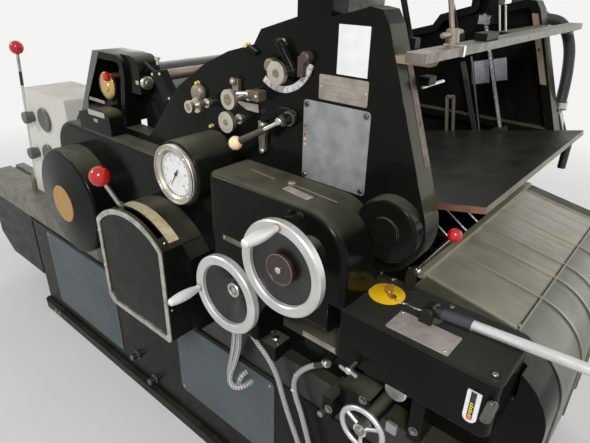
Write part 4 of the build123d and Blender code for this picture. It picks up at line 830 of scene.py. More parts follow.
def gauge():
    """Graduations, numbers, pointer and screws of the pressure gauge."""
    x, z = gauge_x, gauge_z
    marks = Shapes()
    divisions = 50
    first_angle = 225
    sweep = 270
    for step in range(divisions + 1):
        angle = math.radians(first_angle - sweep * step / divisions)
        long_mark = step % 5 == 0
        outer = 57.0
        inner = outer - (9.0 if long_mark else 4.5)
        half = 0.7 if long_mark else 0.35
        across = Vector((-math.sin(angle), 0, math.cos(angle))) * half
        out = Vector((math.cos(angle), 0, math.sin(angle)))
        middle = Vector((x, dial_face_y, z))
        front = Vector((0, -0.3, 0))
        corners = [middle + out * inner - across, middle + out * outer - across,
                middle + out * outer + across, middle + out * inner + across]
        marks.rings([corners, [c + front for c in corners]])
        if long_mark and step % 10 == 0:
            at = middle + out * 39 + front
            number(marks, str(step // 5), at, 9.0)
    marks.finish("gauge_marks", dark_mark, "dial_face")
    pointer = Shapes()
    aim = math.radians(236)
    out = Vector((math.cos(aim), 0, math.sin(aim)))
    across = Vector((-math.sin(aim), 0, math.cos(aim)))
    hub = Vector((x, dial_face_y - 1.2, z))
    outline = [hub - out * 16 - across * 2.4, hub + out * 50, hub - out * 16 + across * 2.4]
    pointer.rings([outline, [p + Vector((0, -0.8, 0)) for p in outline]])
    pointer.turned(hub + Vector((0, 0.6, 0)), OPERATOR, [(5, 0), (5, 2.5), (3.5, 3.2)], 20)
    pointer.finish("gauge_pointer", dark_mark, "dial_face")
    rims = Shapes()
    rims.turned((x, dial_face_y + 0.5, z), OPERATOR, [(60.5, 0), (60.5, 1.2), (59.2, 1.2), (59.2, 0)], 64,
            ring=True)
    rims.turned((x, bezel_face_y + 1, z), OPERATOR, [(81.5, 0), (81.5, 3.2), (79.5, 4), (77.5, 3.2),
            (77.5, 0)], 72, ring=True)
    rims.finish("gauge_rims", bright_steel)
    screws = Shapes()
    for turn in (48, 140, 228, 318):
        angle = math.radians(turn)
        screws.dome_screw((x + 71 * math.cos(angle), bezel_face_y, z + 71 * math.sin(angle)), OPERATOR, 4.2)
    screws.finish("gauge_screws", bright_steel)


# Near frame: plates, nipples and small fittings

def frame_plates():
    """Metal plates and the plain white card on the near frame."""
    Shapes().plate((674, frame_face_y, 1307), OPERATOR, 181, 190, 1.6, 9).finish("frame_plate_large",
            zinc_plate, bevel=0.4)
    Shapes().plate((689, frame_face_y, 1436), OPERATOR, 128, 54, 1.4, 4).finish("frame_plate_small",
            tin_plate, bevel=0.3)
    Shapes().plate((708.5, frame_face_y, 1517.5), OPERATOR, 77, 99, 0.6, 1.0).finish("frame_card",
            white_card, "white_paint")
    bolts = Shapes()
    for screw_x in (593, 754):
        for screw_z in (1222, 1392):
            bolts.socket_screw((screw_x, frame_face_y - 1.6, screw_z), OPERATOR, 6)
    bolts.finish("frame_plate_bolts", oily_steel, "dark_paint")
    screws = Shapes()
    for screw_x in (631, 747):
        screws.dome_screw((screw_x, frame_face_y - 1.4, 1436), OPERATOR, 3.2)
    screws.finish("frame_plate_screws", bright_steel)
    rows = Shapes()
    for row_z, length in ((1452, 104), (1441, 92), (1429, 60), (1421, 98)):
        for piece in range(int(length / 8)):
            left = 689 - length / 2 + piece * 8 + random.uniform(0, 2)
            rows.block((left, frame_face_y - 1.55, row_z - 1.2),
                    (left + 4.5, frame_face_y - 1.3, row_z + 1.2))
    rows.finish("frame_plate_rows", dull_steel)
    for colour, paint, slot, heights in (("red", red_plastic, "red_plastic", (1341, 1320)),
            ("yellow", yellow_paint, "ochre_disc", (1308, 1296))):
        dots = Shapes()
        for dot_z in heights:
            dots.dome_screw((590, frame_face_y - 1.5, dot_z), OPERATOR, 3.0)
        dots.finish("frame_plate_" + colour + "_marks", paint, slot)


def oil_nipples():
    """Yellow-tipped oil nipples on the frame and the control box lid."""
    bases = Shapes()
    tips = Shapes()
    for x, z in ((520, 1521), (407, 1501), (210, 1386), (260, 1276)):
        bases.turned((x, frame_face_y, z), OPERATOR, [(7, 0), (7, 5), (4.5, 7), (4.5, 10)], 6)
        tips.turned((x, frame_face_y - 10, z), OPERATOR, [(4.4, 0), (4.8, 2), (3.6, 4.5), (0, 5)], 18)
    bases.turned((802, -445, lid_top_z), UP, [(6, 0), (6, 4), (4, 6)], 6)
    tips.turned((802, -445, lid_top_z + 6), UP, [(4, 0), (4.4, 2), (3, 4.5), (0, 5)], 18)
    bases.finish("nipple_bases", dull_steel)
    tips.finish("nipple_tips", yellow_paint, "ochre_disc")


def frame_fittings():
    """Flanges, links, short cylinders and the scale segment beside the adjusting heads."""
    dark = Shapes()
    lug = [(-18, -10), (16, -14), (20, 8), (0, 22), (-14, 14)]
    dark.prism(lug, upright(514, frame_face_y, 1506), 22)
    dark.rod((516, frame_face_y - 14, 1522), (568, frame_face_y - 14, 1452), 10)
    dark.rod((407, frame_face_y - 6, 1498), (440, frame_face_y - 6, 1486), 7)
    dark.rod((540, frame_face_y - 20, 1458), (572, frame_face_y - 20, 1462), 5)
    dark.finish("frame_fittings_dark", black_enamel, "machine_paint", bevel=1.5)
    worn = Shapes()
    worn.turned((494, frame_face_y, 1466), OPERATOR, [(17, 0), (17, 22), (13, 26)], 24)
    worn.turned((211, frame_face_y, 1360), OPERATOR, [(25, 0), (25, 8), (20, 17), (10, 20)], 36)
    worn.block((354, frame_face_y - 12, 1388), (376, frame_face_y, 1418))
    worn.turned((362, frame_face_y - 12, 1412), OPERATOR, [(10, 0), (10, 6), (6, 8)], 20)
    worn.block((430, frame_face_y - 30, 1378), (464, frame_face_y, 1403))
    worn.finish("frame_fittings_worn", knob_metal_dark, bevel=1.5)
    link = Shapes()
    link.turned((594, frame_face_y, 1494), OPERATOR, [(13, 0), (13, 18), (9, 21)], 24)
    rusty_arm = [(-8, -34), (8, -34), (11, 10), (-7, 10)]
    link.prism(rusty_arm, upright(584, frame_face_y - 8, 1486), 12)
    link.finish("frame_link", brown_sleeve, "dark_paint", bevel=1.0)
    bright = Shapes()
    bright.rod((398, frame_face_y - 34, 1388), (438, frame_face_y - 34, 1394), 8)
    for x, forward, z in ((362, 20, 1412), (455, 30, 1390)):
        bright.dome_screw((x, frame_face_y - forward, z), OPERATOR, 5)
    bright.finish("frame_pins", bright_steel, bevel=0.4)
    scale = Shapes()
    outline = [(-45, 3), (-28, -6), (-6, -14), (35, -15), (35, 6), (-5, 4)]
    scale.prism(outline, upright(402, frame_face_y, 1358), 2.2)
    scale.finish("frame_scale", silver_plate, bevel=0.3)
    heads = Shapes()
    for x, y, z, radius in ((411, -574, 1384, 13), (376, -552, 1318, 8), (526, -530, 1455, 9),
            (249, -568, 1338, 9)):
        heads.turned((x, y, z), OPERATOR, [(radius, 0), (radius, 1.0), (radius * 0.4, 1.4),
                (radius * 0.3, 0.3), (0, 0.3)], 24)
    heads.finish("knob_centres", knob_metal_dark)


def lean_strip():
    """Worn strip with a hole on the leaning edge of the near frame."""
    lean = Vector((1.0, 0, 0.3494)).normalized()
    Shapes().plate((846.6, -446, 1402), lean, 22, 215, 0.8, 3).finish("frame_lean_strip", worn_strip,
            "machine_paint", bevel=0.2)
    Shapes().turned((852.6, -446, 1385), lean, [(6, 0), (6, 1.2)], 24).finish("frame_lean_hole",
            dark_mark, "dark_paint")


def trip_bracket():
    """Bolted link and arm behind the ivory-ball lever, and the brown sleeve on its stem."""
    Shapes().prism([(-9, -40), (9, -34), (13, 40), (-13, 44)], upright(457, frame_face_y, 1284),
            12).finish("trip_link", knob_metal_dark, bevel=1.5)
    arm = Shapes()
    arm.prism([(-96, -34), (-10, 2), (12, -8), (22, 8), (4, 22), (-20, 20), (-88, -18)],
            upright(536, frame_face_y, 1352), 9)
    arm.turned((trip_hub_x, frame_face_y, trip_hub_z), OPERATOR, [(20, 0), (20, 8), (17, 11)], 36)
    arm.finish("trip_arm", black_enamel, "machine_paint", bevel=1.5)
    bolts = Shapes()
    for z in (1318, 1251):
        bolts.dome_screw((458, frame_face_y - 12, z), OPERATOR, 7)
    bolts.turned((trip_hub_x, -541, trip_hub_z), OPERATOR, [(9, 0), (9, 4), (7, 6)], 24)
    bolts.finish("trip_bolts", bright_steel, bevel=0.4)
    sleeve = Shapes()
    hub = Vector((trip_hub_x, -520, trip_hub_z))
    knob = Vector((430, -570, 1280))
    sleeve.turned(hub.lerp(knob, 0.40), knob - hub, [(6.5, 0), (8.5, 3), (8, 30), (9.5, 72), (8, 76)], 24)
    sleeve.finish("trip_sleeve", brown_sleeve, "dark_plastic", "trip_lever", bevel=0.3)


# Casing fittings

def casing_fittings():
    """Plates, slot strip, brass knob, valve and cover screws of the gear casing."""
    plates = Shapes()
    plates.plate((641, -578, casing_top_z), UP, 84, 22, 1.6, 2, turn=-8)
    plates.plate((-278, cover_block_y, 1223), OPERATOR, 104, 18, 1.6, 2, turn=1)
    plates.finish("casing_plates", silver_plate, bevel=0.3)
    Shapes().plate((478, casing_face_y, 1046), OPERATOR, 78, 15, 1.6, 1.5).finish("casing_front_plate",
            olive_plate, bevel=0.3)
    slot = Shapes()
    slot.plate((500, -546, casing_top_z), UP, 92, 6, 1.2, 2.9, turn=-6)
    slot.turned((597, -548, casing_top_z), UP, [(10, 0), (10, 5), (7, 8)], 24)
    slot.plate((668, -552, casing_top_z), UP, 140, 4, 1.0, 1.9, turn=-5)
    slot.finish("casing_slot_strip", brown_metal, bevel=0.3)
    Shapes().plate((-286, cover_block_y, 1198), OPERATOR, 26, 12, 2.0, 1.5).finish("cover_window",
            tin_plate, bevel=0.3)
    Shapes().turned((537, casing_face_y, 975), OPERATOR, [(9, 0), (9, 8), (17, 10), (17, 24), (13, 27)],
            28).finish("casing_brass_knob", pale_brass, bevel=0.5)
    screws = Shapes()
    for x in (445, 511):
        screws.dome_screw((x, casing_face_y - 1.6, 1046), OPERATOR, 2.6)
    screws.dome_screw((605, -573, casing_top_z + 1.6), UP, 2.6)
    screws.dome_screw((677, -583, casing_top_z + 1.6), UP, 2.6)
    screws.finish("casing_plate_screws", bright_steel)
    valve = Shapes()
    valve.turned((695, casing_face_y + 4, 1188), (0.2, -0.9, 0.2),
            [(11, 0), (11, 10), (7, 13), (7, 22), (9, 24)], 18)
    valve.rod((695, casing_face_y - 10, 1190), (662, casing_face_y - 12, 1180), 3.5)
    valve.rod((668, casing_face_y + 6, 1192), (668, casing_face_y - 12, 1192), 5)
    valve.finish("casing_valve", base_enamel, "dark_paint", bevel=0.5)
    caps = Shapes()
    for z in (775, 905):
        caps.socket_screw((cover_left_x + 9, cover_border_y, z), OPERATOR, 5)
    for z in (980, 752):
        caps.dome_screw((cover_right_x, -690, z), (1, 0, 0), 4)
    caps.finish("cover_screws", bright_steel)


def wheel_hubs():
    """Discs, centre screws and handle seats of the handwheels."""
    Shapes().turned((large_wheel_x, large_hub_y - 8, large_wheel_z), OPERATOR,
            [(32, 0), (34, 2), (34, 5), (31.5, 6), (30, 4.4), (12, 4.4), (11, 6), (8, 7)],
            48).finish("large_wheel_disc", hub_brown, "dark_paint", "large_wheel", 0.3)
    Shapes().turned((large_wheel_x, large_hub_y + 1, large_wheel_z), OPERATOR, [(25, 0), (23, 9)],
            40).finish("large_wheel_boss", black_enamel, "dark_paint", "large_wheel", 0.3)
    Shapes().turned((large_wheel_x, large_hub_y - 10, large_wheel_z), OPERATOR,
            [(33.4, 0), (34.8, 0), (34.8, 3), (33.4, 3)], 48, ring=True).finish("large_wheel_ring",
            brown_metal, "bright_steel", "large_wheel", 0)
    Shapes().turned((large_wheel_x, wheel_face_y, large_wheel_z), OPERATOR,
            [(7.5, 0), (7.5, 2), (4, 4.4), (0, 4.8)], 24).finish("large_wheel_centre", bright_steel,
            "bright_steel", "large_wheel", 0.3)
    small = Shapes()
    small.turned((small_wheel_x, small_hub_y, small_wheel_z), OPERATOR,
            [(20, 0), (20, 12), (18.5, 14), (13, 14), (12, 12), (12, 5.5), (0, 5.5)], 40)
    small.hex_bolt((small_wheel_x, small_hub_y - 5, small_wheel_z), OPERATOR, 8, washer=False)
    small.finish("small_wheel_hub", bright_steel, "bright_steel", "small_wheel", 0.3)
    Shapes().turned((918, -674, 744), OPERATOR, [(11, 0), (11, 5), (7, 8), (0, 8.4)],
            24).finish("lower_wheel_hub", dull_steel, "bright_steel", "lower_wheel", 0.3)
    for body, x, z, radius, angle in (("large_wheel", large_wheel_x, large_wheel_z, 96, 92),
            ("small_wheel", small_wheel_x, small_wheel_z, 89, 190)):
        turn = math.radians(angle)
        foot = (x + radius * math.cos(turn), wheel_face_y, z + radius * math.sin(turn))
        Shapes().turned(foot, OPERATOR, [(9.5, 0), (9.5, 3), (8.2, 5)], 24).finish(body + "_handle_seat",
                brown_metal, "bright_steel", body, 0.2)


# Ink unit

def ink_unit():
    """Grey strip of painted light on the hood's leg, discs, rollers, covers and inner plate of the ink unit.
    """
    # Grey strip on the front of the hood's black left leg, as painted light.
    strip = Shapes()
    outline = [(-484, 1195), (-436, 1195), (-424, 1245), (-302, 1416), (-344, 1416)]
    strip.prism(outline, upright(0, frame_face_y, 0), 1.6)
    strip.finish("hood_painted_light_strip", grey_enamel, "machine_paint", bevel=0.4)
    Shapes().turned((-300, -476, 1303), OPERATOR, [(44, 0), (47, 3), (47, 9), (42, 12), (20, 12.5),
            (18, 15), (0, 16)], 48).finish("drum_end_disc", brass, "bright_steel", "ink_drum", 0.5)
    Shapes().turned((-281, -470, 1337), OPERATOR, [(4, 0), (4, 6), (10, 8), (14, 13), (15.5, 20),
            (14, 27), (9, 32), (0, 34)], 28).finish("hood_red_knob", red_plastic, "red_plastic")
    Shapes().plate((-262, -440, 1343), OPERATOR, 40, 24, 2, 1).finish("hood_gold_plate", brass, bevel=0.3)
    Shapes().plate((-362, frame_face_y, 1246), OPERATOR, 102, 11, 3, 2).finish("hood_rail", tin_plate,
            bevel=0.5)
    cover = Shapes()
    outline = [(-200, 1300), (-104, 1300), (-102, 1362)]
    for step in range(9):
        angle = math.radians(90 * step / 8)
        outline.append((-152 + 50 * math.cos(angle), 1368 + 50 * math.sin(angle)))
    outline.append((-200, 1418))
    cover.prism(outline, upright(0, -400, 0), 80)
    cover.rod((-110, -450, 1395), (-60, -450, 1372), 7)
    cover.finish("ink_back_cover", black_enamel, "machine_paint", bevel=6)
    Shapes().turned((-128, -460, 1338), (1, 0, 0), [(17, 0), (21, 2), (21, 16), (18, 18), (18, 26),
            (21, 28), (21, 40), (17, 42), (10, 42), (10, 46), (0, 46)], 36).finish("ink_collar",
            knob_metal, bevel=0.4)
    shaft = Shapes()
    shaft.rod((-190, -460, 1338), (-128, -460, 1338), 13)
    for side in (-1, 1):
        shaft.prism([(-58, 1376), (-7, 1390), (48, 1309), (6, 1294)], upright(0, side * 455 + 15, 0), 30)
    shaft.finish("ink_arms", black_enamel, "machine_paint", bevel=3)
    for colour, paint, x, z, radius, sides in (("brown", brown_metal, -26, 1371, 14, 28),
            ("grey", grey_enamel, 4, 1338, 20, 32)):
        Shapes().rod((x, -450, z), (x, 450, z), radius, sides).finish("ink_roller_" + colour, paint,
                "ink_roller")
    inner = Shapes()
    inner.block((-167, -430, 1158), (130, -418, 1318))
    inner.prism([(-130, 1262), (-112, 1270), (-58, 1168), (-76, 1160)], upright(0, -430, 0), 8)
    inner.finish("inner_plate", base_enamel, "machine_paint", bevel=1.5)
    pins = Shapes()
    for x, z in ((-46, 1372), (-8, 1378), (30, 1310)):
        pins.dome_screw((x, -470, z), OPERATOR, 5)
    pins.turned((-40, -450, 1400), UP, [(5, 0), (5, 14), (9, 15), (9, 22), (6, 24)], 18)
    pins.finish("ink_pins", bright_steel)


# Delivery guard

def guard_trim():
    """Top bar, edge strips and seam bar of the delivery guard."""
    guard_fall = 45.0
    guard_run = 237.0
    strip_length = 236.0
    drop = math.atan2(guard_fall, guard_run)
    down = Vector((math.cos(drop), 0, -math.sin(drop)))
    lift = Vector((math.sin(drop), 0, math.cos(drop)))
    slope = Matrix((down, Vector((0, 1, 0)), lift)).transposed().to_4x4()
    Shapes().block((864, -372, 984), (884, 448, 1003)).finish("guard_top_bar", guard_bar_paint,
            "guard_sheet", bevel=1.5)
    strips = Shapes()
    for y_low in (-360, 392):
        strips.prism([(0, 0), (strip_length, 0), (strip_length, 8), (0, 8)],
                Matrix.Translation((884, y_low, 991.5)) @ slope, 2.5)
    strips.finish("guard_edge_strips", guard_bar_paint, "guard_sheet", bevel=0.6)
    Shapes().prism([(0, 0), (strip_length, 0), (strip_length, 46), (0, 46)],
            Matrix.Translation((884, 401, 989)) @ slope, 2.5).finish("guard_far_strip", black_enamel,
            "machine_paint", bevel=0.6)
    Shapes().block((1113.5, -358, 946), (1116.5, 398, 951)).finish("guard_seam_dark", dark_mark,
            "dark_paint", bevel=0.6)
    light = Shapes()
    light.block((1117.5, -358, 945), (1122, 398, 950.5))
    for y in (-345, -194.5, -71.5, 19.5, 164.5, 385):
        light.dome_screw((1115, y, 950.5), UP, 4)
    light.finish("guard_seam_light", guard_bar_paint, "guard_sheet", bevel=0.6)
    rods = Shapes()
    for y in (-165, -75, 5):
        rods.rod((784, y, 1052), (872, y, 994), 3.2, 12)
    rods.finish("tape_rods", satin_aluminium)


# Control box

def control_fittings():
    """Lid screws, plate, key disc with its key and chain, level gauge and small levers."""
    screws = Shapes()
    wells = Shapes()
    for x, y in ((805, -601), (993, -456), (1144, -600), (838, -448)):
        wells.turned((x, y, lid_top_z), UP, [(12, 0), (12, 1.2), (9.5, 1.4), (9.3, 0.4), (0, 0.4)], 32)
        screws.socket_screw((x, y, lid_top_z + 0.4), UP, 6)
    wells.finish("lid_wells", lid_enamel, "dark_paint")
    screws.finish("lid_screws", dull_steel)
    Shapes().plate((986, -577, lid_top_z), UP, 140, 70, 1.6, 3).finish("lid_plate", silver_plate, bevel=0.3)
    rivets = Shapes()
    for x, y in ((922, -546), (1046, -602)):
        rivets.dome_screw((x, y, lid_top_z + 1.6), UP, 3.2)
    rivets.finish("lid_rivets", bright_steel)
    Shapes().turned((859, -510, lid_top_z), UP, [(41, 0), (42, 1), (42, 2.6), (40.5, 3.4)],
            64).finish("key_disc", yellow_plastic, "ochre_disc")
    key = Shapes()
    key.plate((862, -506, lid_top_z + 17), (0.8, -0.6, 0), 20, 26, 2.4, 8)
    key.rod((862, -506, lid_top_z + 2), (862, -506, lid_top_z + 9), 4.5)
    key.plate((874, -514, lid_top_z + 4), UP, 24, 16, 2.4, 7, turn=-20)
    key.finish("key", brass, bevel=0.3)
    chain = Shapes()
    path = smooth_line([(878, -516, 1006), (896, -526, 1001.8), (914, -512, 1001.8), (932, -520, 1001.8),
            (954, -512, 1001.8)], 4.6)
    for i, point in enumerate(path[:-1]):
        along = path[i + 1] - point
        side = along.cross(Vector(UP)).normalized() * (1.8 if i % 2 else 0.3)
        rise = Vector(UP) * (0.3 if i % 2 else 1.8)
        ring = [point - along * 0.5 - side, point + along * 0.5 - side, point + along * 0.5 + side,
                point - along * 0.5 + side]
        for start, end in zip(ring, ring[1:] + ring[:1]):
            chain.rod(start + rise * 0.5, end + rise * 0.5, 0.8, 6)
    chain.finish("key_chain", bright_steel)
    Shapes().turned((975, -520, lid_top_z), UP, [(26, 0), (26, 2), (20, 5), (0, 5)],
            36).finish("lever_foot", black_enamel, "machine_paint", bevel=0.6)
    level = Shapes()
    level_x = 1121.0
    half_width = 14.0
    glass_y = box_face_y - 6.2
    outline = [(half_width, 39), (-half_width, 39)]
    for step in range(13):
        angle = math.radians(180 + 15 * step)
        outline.append((half_width * math.cos(angle), half_width * math.sin(angle) - 24))
    level.prism(outline, upright(level_x, box_face_y, 914), 5)
    level.finish("level_frame", white_card, "white_paint", bevel=0.8)
    Shapes().block((level_x - 5.5, glass_y, 886), (level_x + 5.5, box_face_y - 5,
            953.5)).finish("level_glass", dark_glass, "dial_face", bevel=0.4)
    marks = Shapes()
    for i, z in enumerate((894, 900, 906, 912, 918, 924)):
        marks.block((level_x - 3.5, box_face_y - 6.6, z), (level_x + 3.5 - 1.5 * (i % 2), glass_y, z + 3.4))
    marks.finish("level_marks", yellow_paint, "ochre_disc")
    Shapes().dome_screw((level_x, glass_y, 889), OPERATOR, 4.5).finish("level_bulb", orange_paint,
            "red_plastic")
    tag = Shapes()
    tag.plate((1153, box_face_y - 3, 925), (0.25, -1, 0), 21, 60, 2.4, 9, turn=-8)
    tag.turned((1154, box_face_y, 948), OPERATOR, [(6, 0), (6, 8), (4, 10)], 6)
    tag.finish("tag_lever", oily_steel, bevel=0.4)
    Shapes().rod((856, -566, 859), (856, -635, 859), 7).finish("wing_bolt_stem", black_enamel, "dark_paint")
    wing = Shapes()
    wing.turned((856, -634, 859), OPERATOR, [(7, 0), (10, 2), (10, 10), (6, 14)], 20)
    for side in (-1, 1):
        wing.plate((856 + side * 15, -640, 859), OPERATOR, 20, 10, 5, 4.5, turn=-14)
    wing.finish("wing_bolt", bright_steel, bevel=0.8)


# Parts under the control box

def lower_fittings():
    """Slide, half disc, brackets and bolts under the control box, and the ruler on the ledge."""
    slide = Shapes()
    slide.block((786, -568, 706), (880, -500, 722))
    slide.block((752, -590, 604), (786, -500, 676))
    slide.block((786, -560, 640), (900, -500, 700))
    slide.block((975, -548, 655), (1010, -470, 850))
    slide.finish("lower_slide", black_enamel, "rail_iron", bevel=2.0)
    Shapes().block((968, -472.2, 651), (1078, -470.5, 655)).finish("rail_edge_light", dull_steel, bevel=0.3)
    Shapes().turned((944, -566, 806), OPERATOR, [(28, 0), (28, 8), (25, 11)], 40).finish("lower_disc",
            satin_aluminium, bevel=0.6)
    Shapes().plate((944, -560, 679), OPERATOR, 28, 30, 10, 2).finish("lower_plate", zinc_plate, bevel=0.8)
    bolts = Shapes()
    for x, y, z in ((775, -590, 640), (860, -568, 714), (992, -548, 690), (992, -548, 830)):
        bolts.hex_bolt((x, y, z), OPERATOR, 8)
    bolts.turned((757, -590, 618), OPERATOR, [(9, 0), (9, 14), (6, 16)], 24)
    bolts.finish("lower_bolts", dull_steel, bevel=0.4)
    Shapes().plate((722, -575, 824), OPERATOR, 108, 17, 1.2, 1).finish("ledge_ruler", tin_plate,
            "ivory_scale", bevel=0.2)
    lines = Shapes()
    for i in range(26):
        x = 672 + i * 4
        height = 9 if i % 5 == 0 else 5
        lines.block((x - 0.4, -576.6, 831 - height), (x + 0.4, -576.1, 831))
    lines.finish("ledge_ruler_marks", dark_mark, "ivory_scale")
    Shapes().block((498, -564, 648), (560, -496, 700)).finish("button_box", black_enamel, "machine_paint",
            bevel=3.0)
    stud = Shapes()
    stud.turned((531, -530, 700), UP, [(12, 0), (12, 3), (9, 6), (0, 7)], 28)
    stud.turned((506, -518, 700), UP, [(4, 0), (4, 8), (2, 10)], 12)
    stud.turned((553, -545, 700), UP, [(3, 0), (3, 3), (2, 4)], 12)
    stud.finish("button_stud", bright_steel, bevel=0.3)


# Base

def base_fittings():
    """Panel screws, trims and plinth bolts of the base on both long sides, and levelling bolts on the
    operator's side.
    """
    screws = Shapes()
    trims = Shapes()
    for side in (-1, 1):
        out = (0, side, 0)
        for x_low, x_high, z_low, z_high in ((-985, -400, 110, 520), (33, 529, 178, 520)):
            for x in (x_low + 18, x_high - 18):
                for z in (z_low + 18, z_high - 18):
                    screws.dome_screw((x, side * 535, z), out, 7)
        trims.block((-1148, min(side * 532, side * 538), 530), (1128, max(side * 532, side * 538), 540))
    screws.finish("panel_screws", dull_steel)
    trims.finish("base_trim", base_enamel, "machine_paint", bevel=1.0)
    jacks = Shapes()
    for x, z in ((-279, 162), (-161, 99)):
        jacks.turned((x, base_face_y, z), OPERATOR, [(20, 0), (20, 8), (14, 10), (14, 34), (11, 37)], 28)
    jacks.finish("levelling_bolts", oily_steel, bevel=0.6)
    ports = Shapes()
    for side in (-1, 1):
        for x in (-1040, -1000, 1040, 1090):
            ports.hex_bolt((x, side * 554, 24), (0, side, 0), 9)
    ports.finish("plinth_bolts", dull_steel, bevel=0.5)


# Feeder

def feeder_fittings():
    """Guide rods, slotted strap, label plates and crossbar fittings of the feeder."""
    rod = Shapes()
    rod.prism([(-9, 0), (9, 0), (9, 262), (-9, 262)], Matrix.Translation((657, 424, 1145))
            @ Matrix.Rotation(math.radians(-20.5), 4, "Y") @ FRONT, 6)
    rod.rod((588, 432, 1411), (667, 432, 1150), 5)
    rod.block((646, 416, 1136), (678, 470, 1158))
    rod.finish("guide_rods", oily_steel, bevel=0.6)
    strap = Shapes()
    for x in (-13, 13):
        strap.prism([(x - 6, 8), (x + 6, 8), (x + 6, 186), (x - 6, 186)], Matrix.Translation(strap_foot)
                @ STRAP, 6)
    arch = [(18 * math.cos(math.radians(180 + 20 * i)), 12 + 14 * math.sin(math.radians(180 + 20 * i)))
            for i in range(10)]
    inner = [(8 * math.cos(math.radians(360 - 20 * i)), 14 + 6 * math.sin(math.radians(360 - 20 * i)))
            for i in range(10)]
    strap.prism(arch + inner, Matrix.Translation(strap_foot) @ STRAP, 6)
    strap.prism([(-19, 180), (19, 180), (14, 192), (-14, 192)], Matrix.Translation(strap_foot) @ STRAP, 6)
    strap.finish("slotted_strap", knob_metal_dark, bevel=1.0)
    labels = Shapes()
    labels.plate((616, 470, 1355), (0, -1, 0), 64, 80, 1.2, 2, turn=14)
    labels.plate((685, 470, 1373), (0, -1, 0), 47, 76, 1.2, 2, turn=14)
    labels.finish("inner_labels", lilac_plate, bevel=0.2)
    clamp = Shapes()
    clamp.rod((866, -388, 1560), (848, -388, 1640), 5)
    clamp.turned((870, -388, 1537), (-0.12, 0, 1), [(11, 0), (13, 2), (13, 27), (11, 30)], 28)
    clamp.rod((868, -435, 1556), (868, -350, 1559), 5.5)
    clamp.finish("clamp_handle", knob_metal_dark, bevel=0.4)
    collar = Shapes()
    collar.block((858, -403, 1518), (902, -394, 1539))
    collar.rod((837, -426, 1454), (837, -329, 1455), 3.6)
    collar.finish("crossbar_collar", satin_aluminium, bevel=0.8)
    blocks = Shapes()
    blocks.block((866, -275, 1537), (894, -205, 1553))
    blocks.block((826, -426, 1458), (850, -392, 1476))
    blocks.finish("crossbar_blocks", base_enamel, "dark_paint", bevel=2)
    Shapes().block((802, 30, 1524), (860, 380, 1533)).finish("crossbar_tray", black_enamel,
            "machine_paint", bevel=3)
    bars = Shapes()
    for x in (801, 817):
        bars.rod((x, 60, 1530), (x - 14, 60, 1596), 2.5)
    bars.rod((690, -10, 1566), (684, -10, 1612), 6)
    bars.finish("tray_rods", bright_steel, bevel=0.3)


def hoses():
    """Braided conduits and the corrugated hose, along the routes of their solids."""
    sleeves = Shapes()
    for route in (((446, -562, 760), (446, -562, 712), (490, -566, 684), (537, -566, 652),
            (568, -562, 600), (591, -562, 530), (618, -562, 464), (654, -562, 390), (684, -562, 312),
            (684, -532, 312)), ((736, -494, 752), (736, -566, 752), (694, -566, 722), (655, -566, 678),
            (631, -562, 628), (633, -562, 580), (661, -562, 520), (684, -562, 450), (706, -562, 380),
            (726, -562, 312), (726, -532, 312))):
        tube_along(sleeves, smooth_line(route), lambda run: 7.8)
    for route in (((404, -574, 760), (404, -574, 668), (374, -562, 568), (350, -562, 474),
            (365, -562, 434), (398, -562, 448), (406, -562, 496), (406, -535, 496)),
            ((424, -574, 760), (424, -574, 660), (394, -566, 560), (374, -582, 490), (392, -588, 460),
            (430, -574, 470), (430, -535, 470))):
        tube_along(sleeves, smooth_line(route), lambda run: 8.8, material=1)
    piece = sleeves.finish("braided_conduits", (white_braid, grid_braid), "braid")
    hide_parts("conduits")
    cover = Shapes()
    cover.rod((736, -500, 752), (736, -562, 752), 9.5)
    cover.rod((738, -560, 752), (706, -567, 731), 9.5)
    cover.finish("conduit_cover", black_plastic, "dark_plastic")
    joints = Shapes()
    for z, x in ((655, 642), (591, 631)):
        joints.turned((x, -562, z - 3), UP, [(8.4, 0), (9.4, 1), (9.4, 6), (8.4, 7)], 24)
    joints.turned((736, -560, 752), (0.6, -0.2, 0.3), [(9, -8), (11, -6), (11, 10), (9, 12)], 24)
    joints.turned((446, -562, 722), UP, [(9.5, -6), (11, -4), (11, 16), (9.5, 18)], 24)
    joints.finish("conduit_joints", satin_aluminium, bevel=0.4)
    hose = Shapes()
    line = smooth_line([(775, 545, 1542), (819, 545, 1542), (852, 545, 1508), (874, 545, 1454),
            (883, 545, 1395), (888, 545, 1335), (888, 545, 1282)], 1.25)
    tube_along(hose, line, lambda run: 17.9 + 0.6 * math.cos(2 * math.pi * run / 5.0), 28)
    piece = hose.finish("corrugated_hose", hose_rubber, "hose_rubber")
    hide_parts("suction_hose")
    cuff = Shapes()
    cuff.turned((888, 545, 1282), (0, 0, -1), [(22, 0), (23.4, 2), (23.4, 22), (22, 24)], 36)
    cuff.rod((888, 545, 1258), (938, 545, 1140), 9.5)
    cuff.finish("hose_cuff", bright_steel, bevel=0.3)


gauge()
frame_plates()
oil_nipples()
frame_fittings()
lean_strip()
trip_bracket()
casing_fittings()
wheel_hubs()
ink_unit()
guard_trim()
control_fittings()
lower_fittings()
base_fittings()
feeder_fittings()
hoses()


# Camera at the photograph's place, found from the machine's own lines

camera_data = bpy.data.cameras.new("camera")
sensor_width = 36.0
picture_width = 590.0
focal_pixels = 491.085
camera_data.sensor_width = sensor_width
camera_data.lens = sensor_width * focal_pixels / picture_width
camera = bpy.data.objects.new("camera", camera_data)
bpy.context.scene.collection.objects.link(camera)
right = Vector((0.75813, 0.65177, 0.02096))
down = Vector((0.30463, -0.32556, -0.8951))
ahead = Vector((-0.57658, 0.68499, -0.44537))
basis = Matrix((right, -down, -ahead)).transposed().to_4x4()
camera_place = (1.300, -1.3685, 1.650)
camera.matrix_world = Matrix.Translation(camera_place) @ basis
bpy.context.scene.camera = camera


# Floor, world and lamps

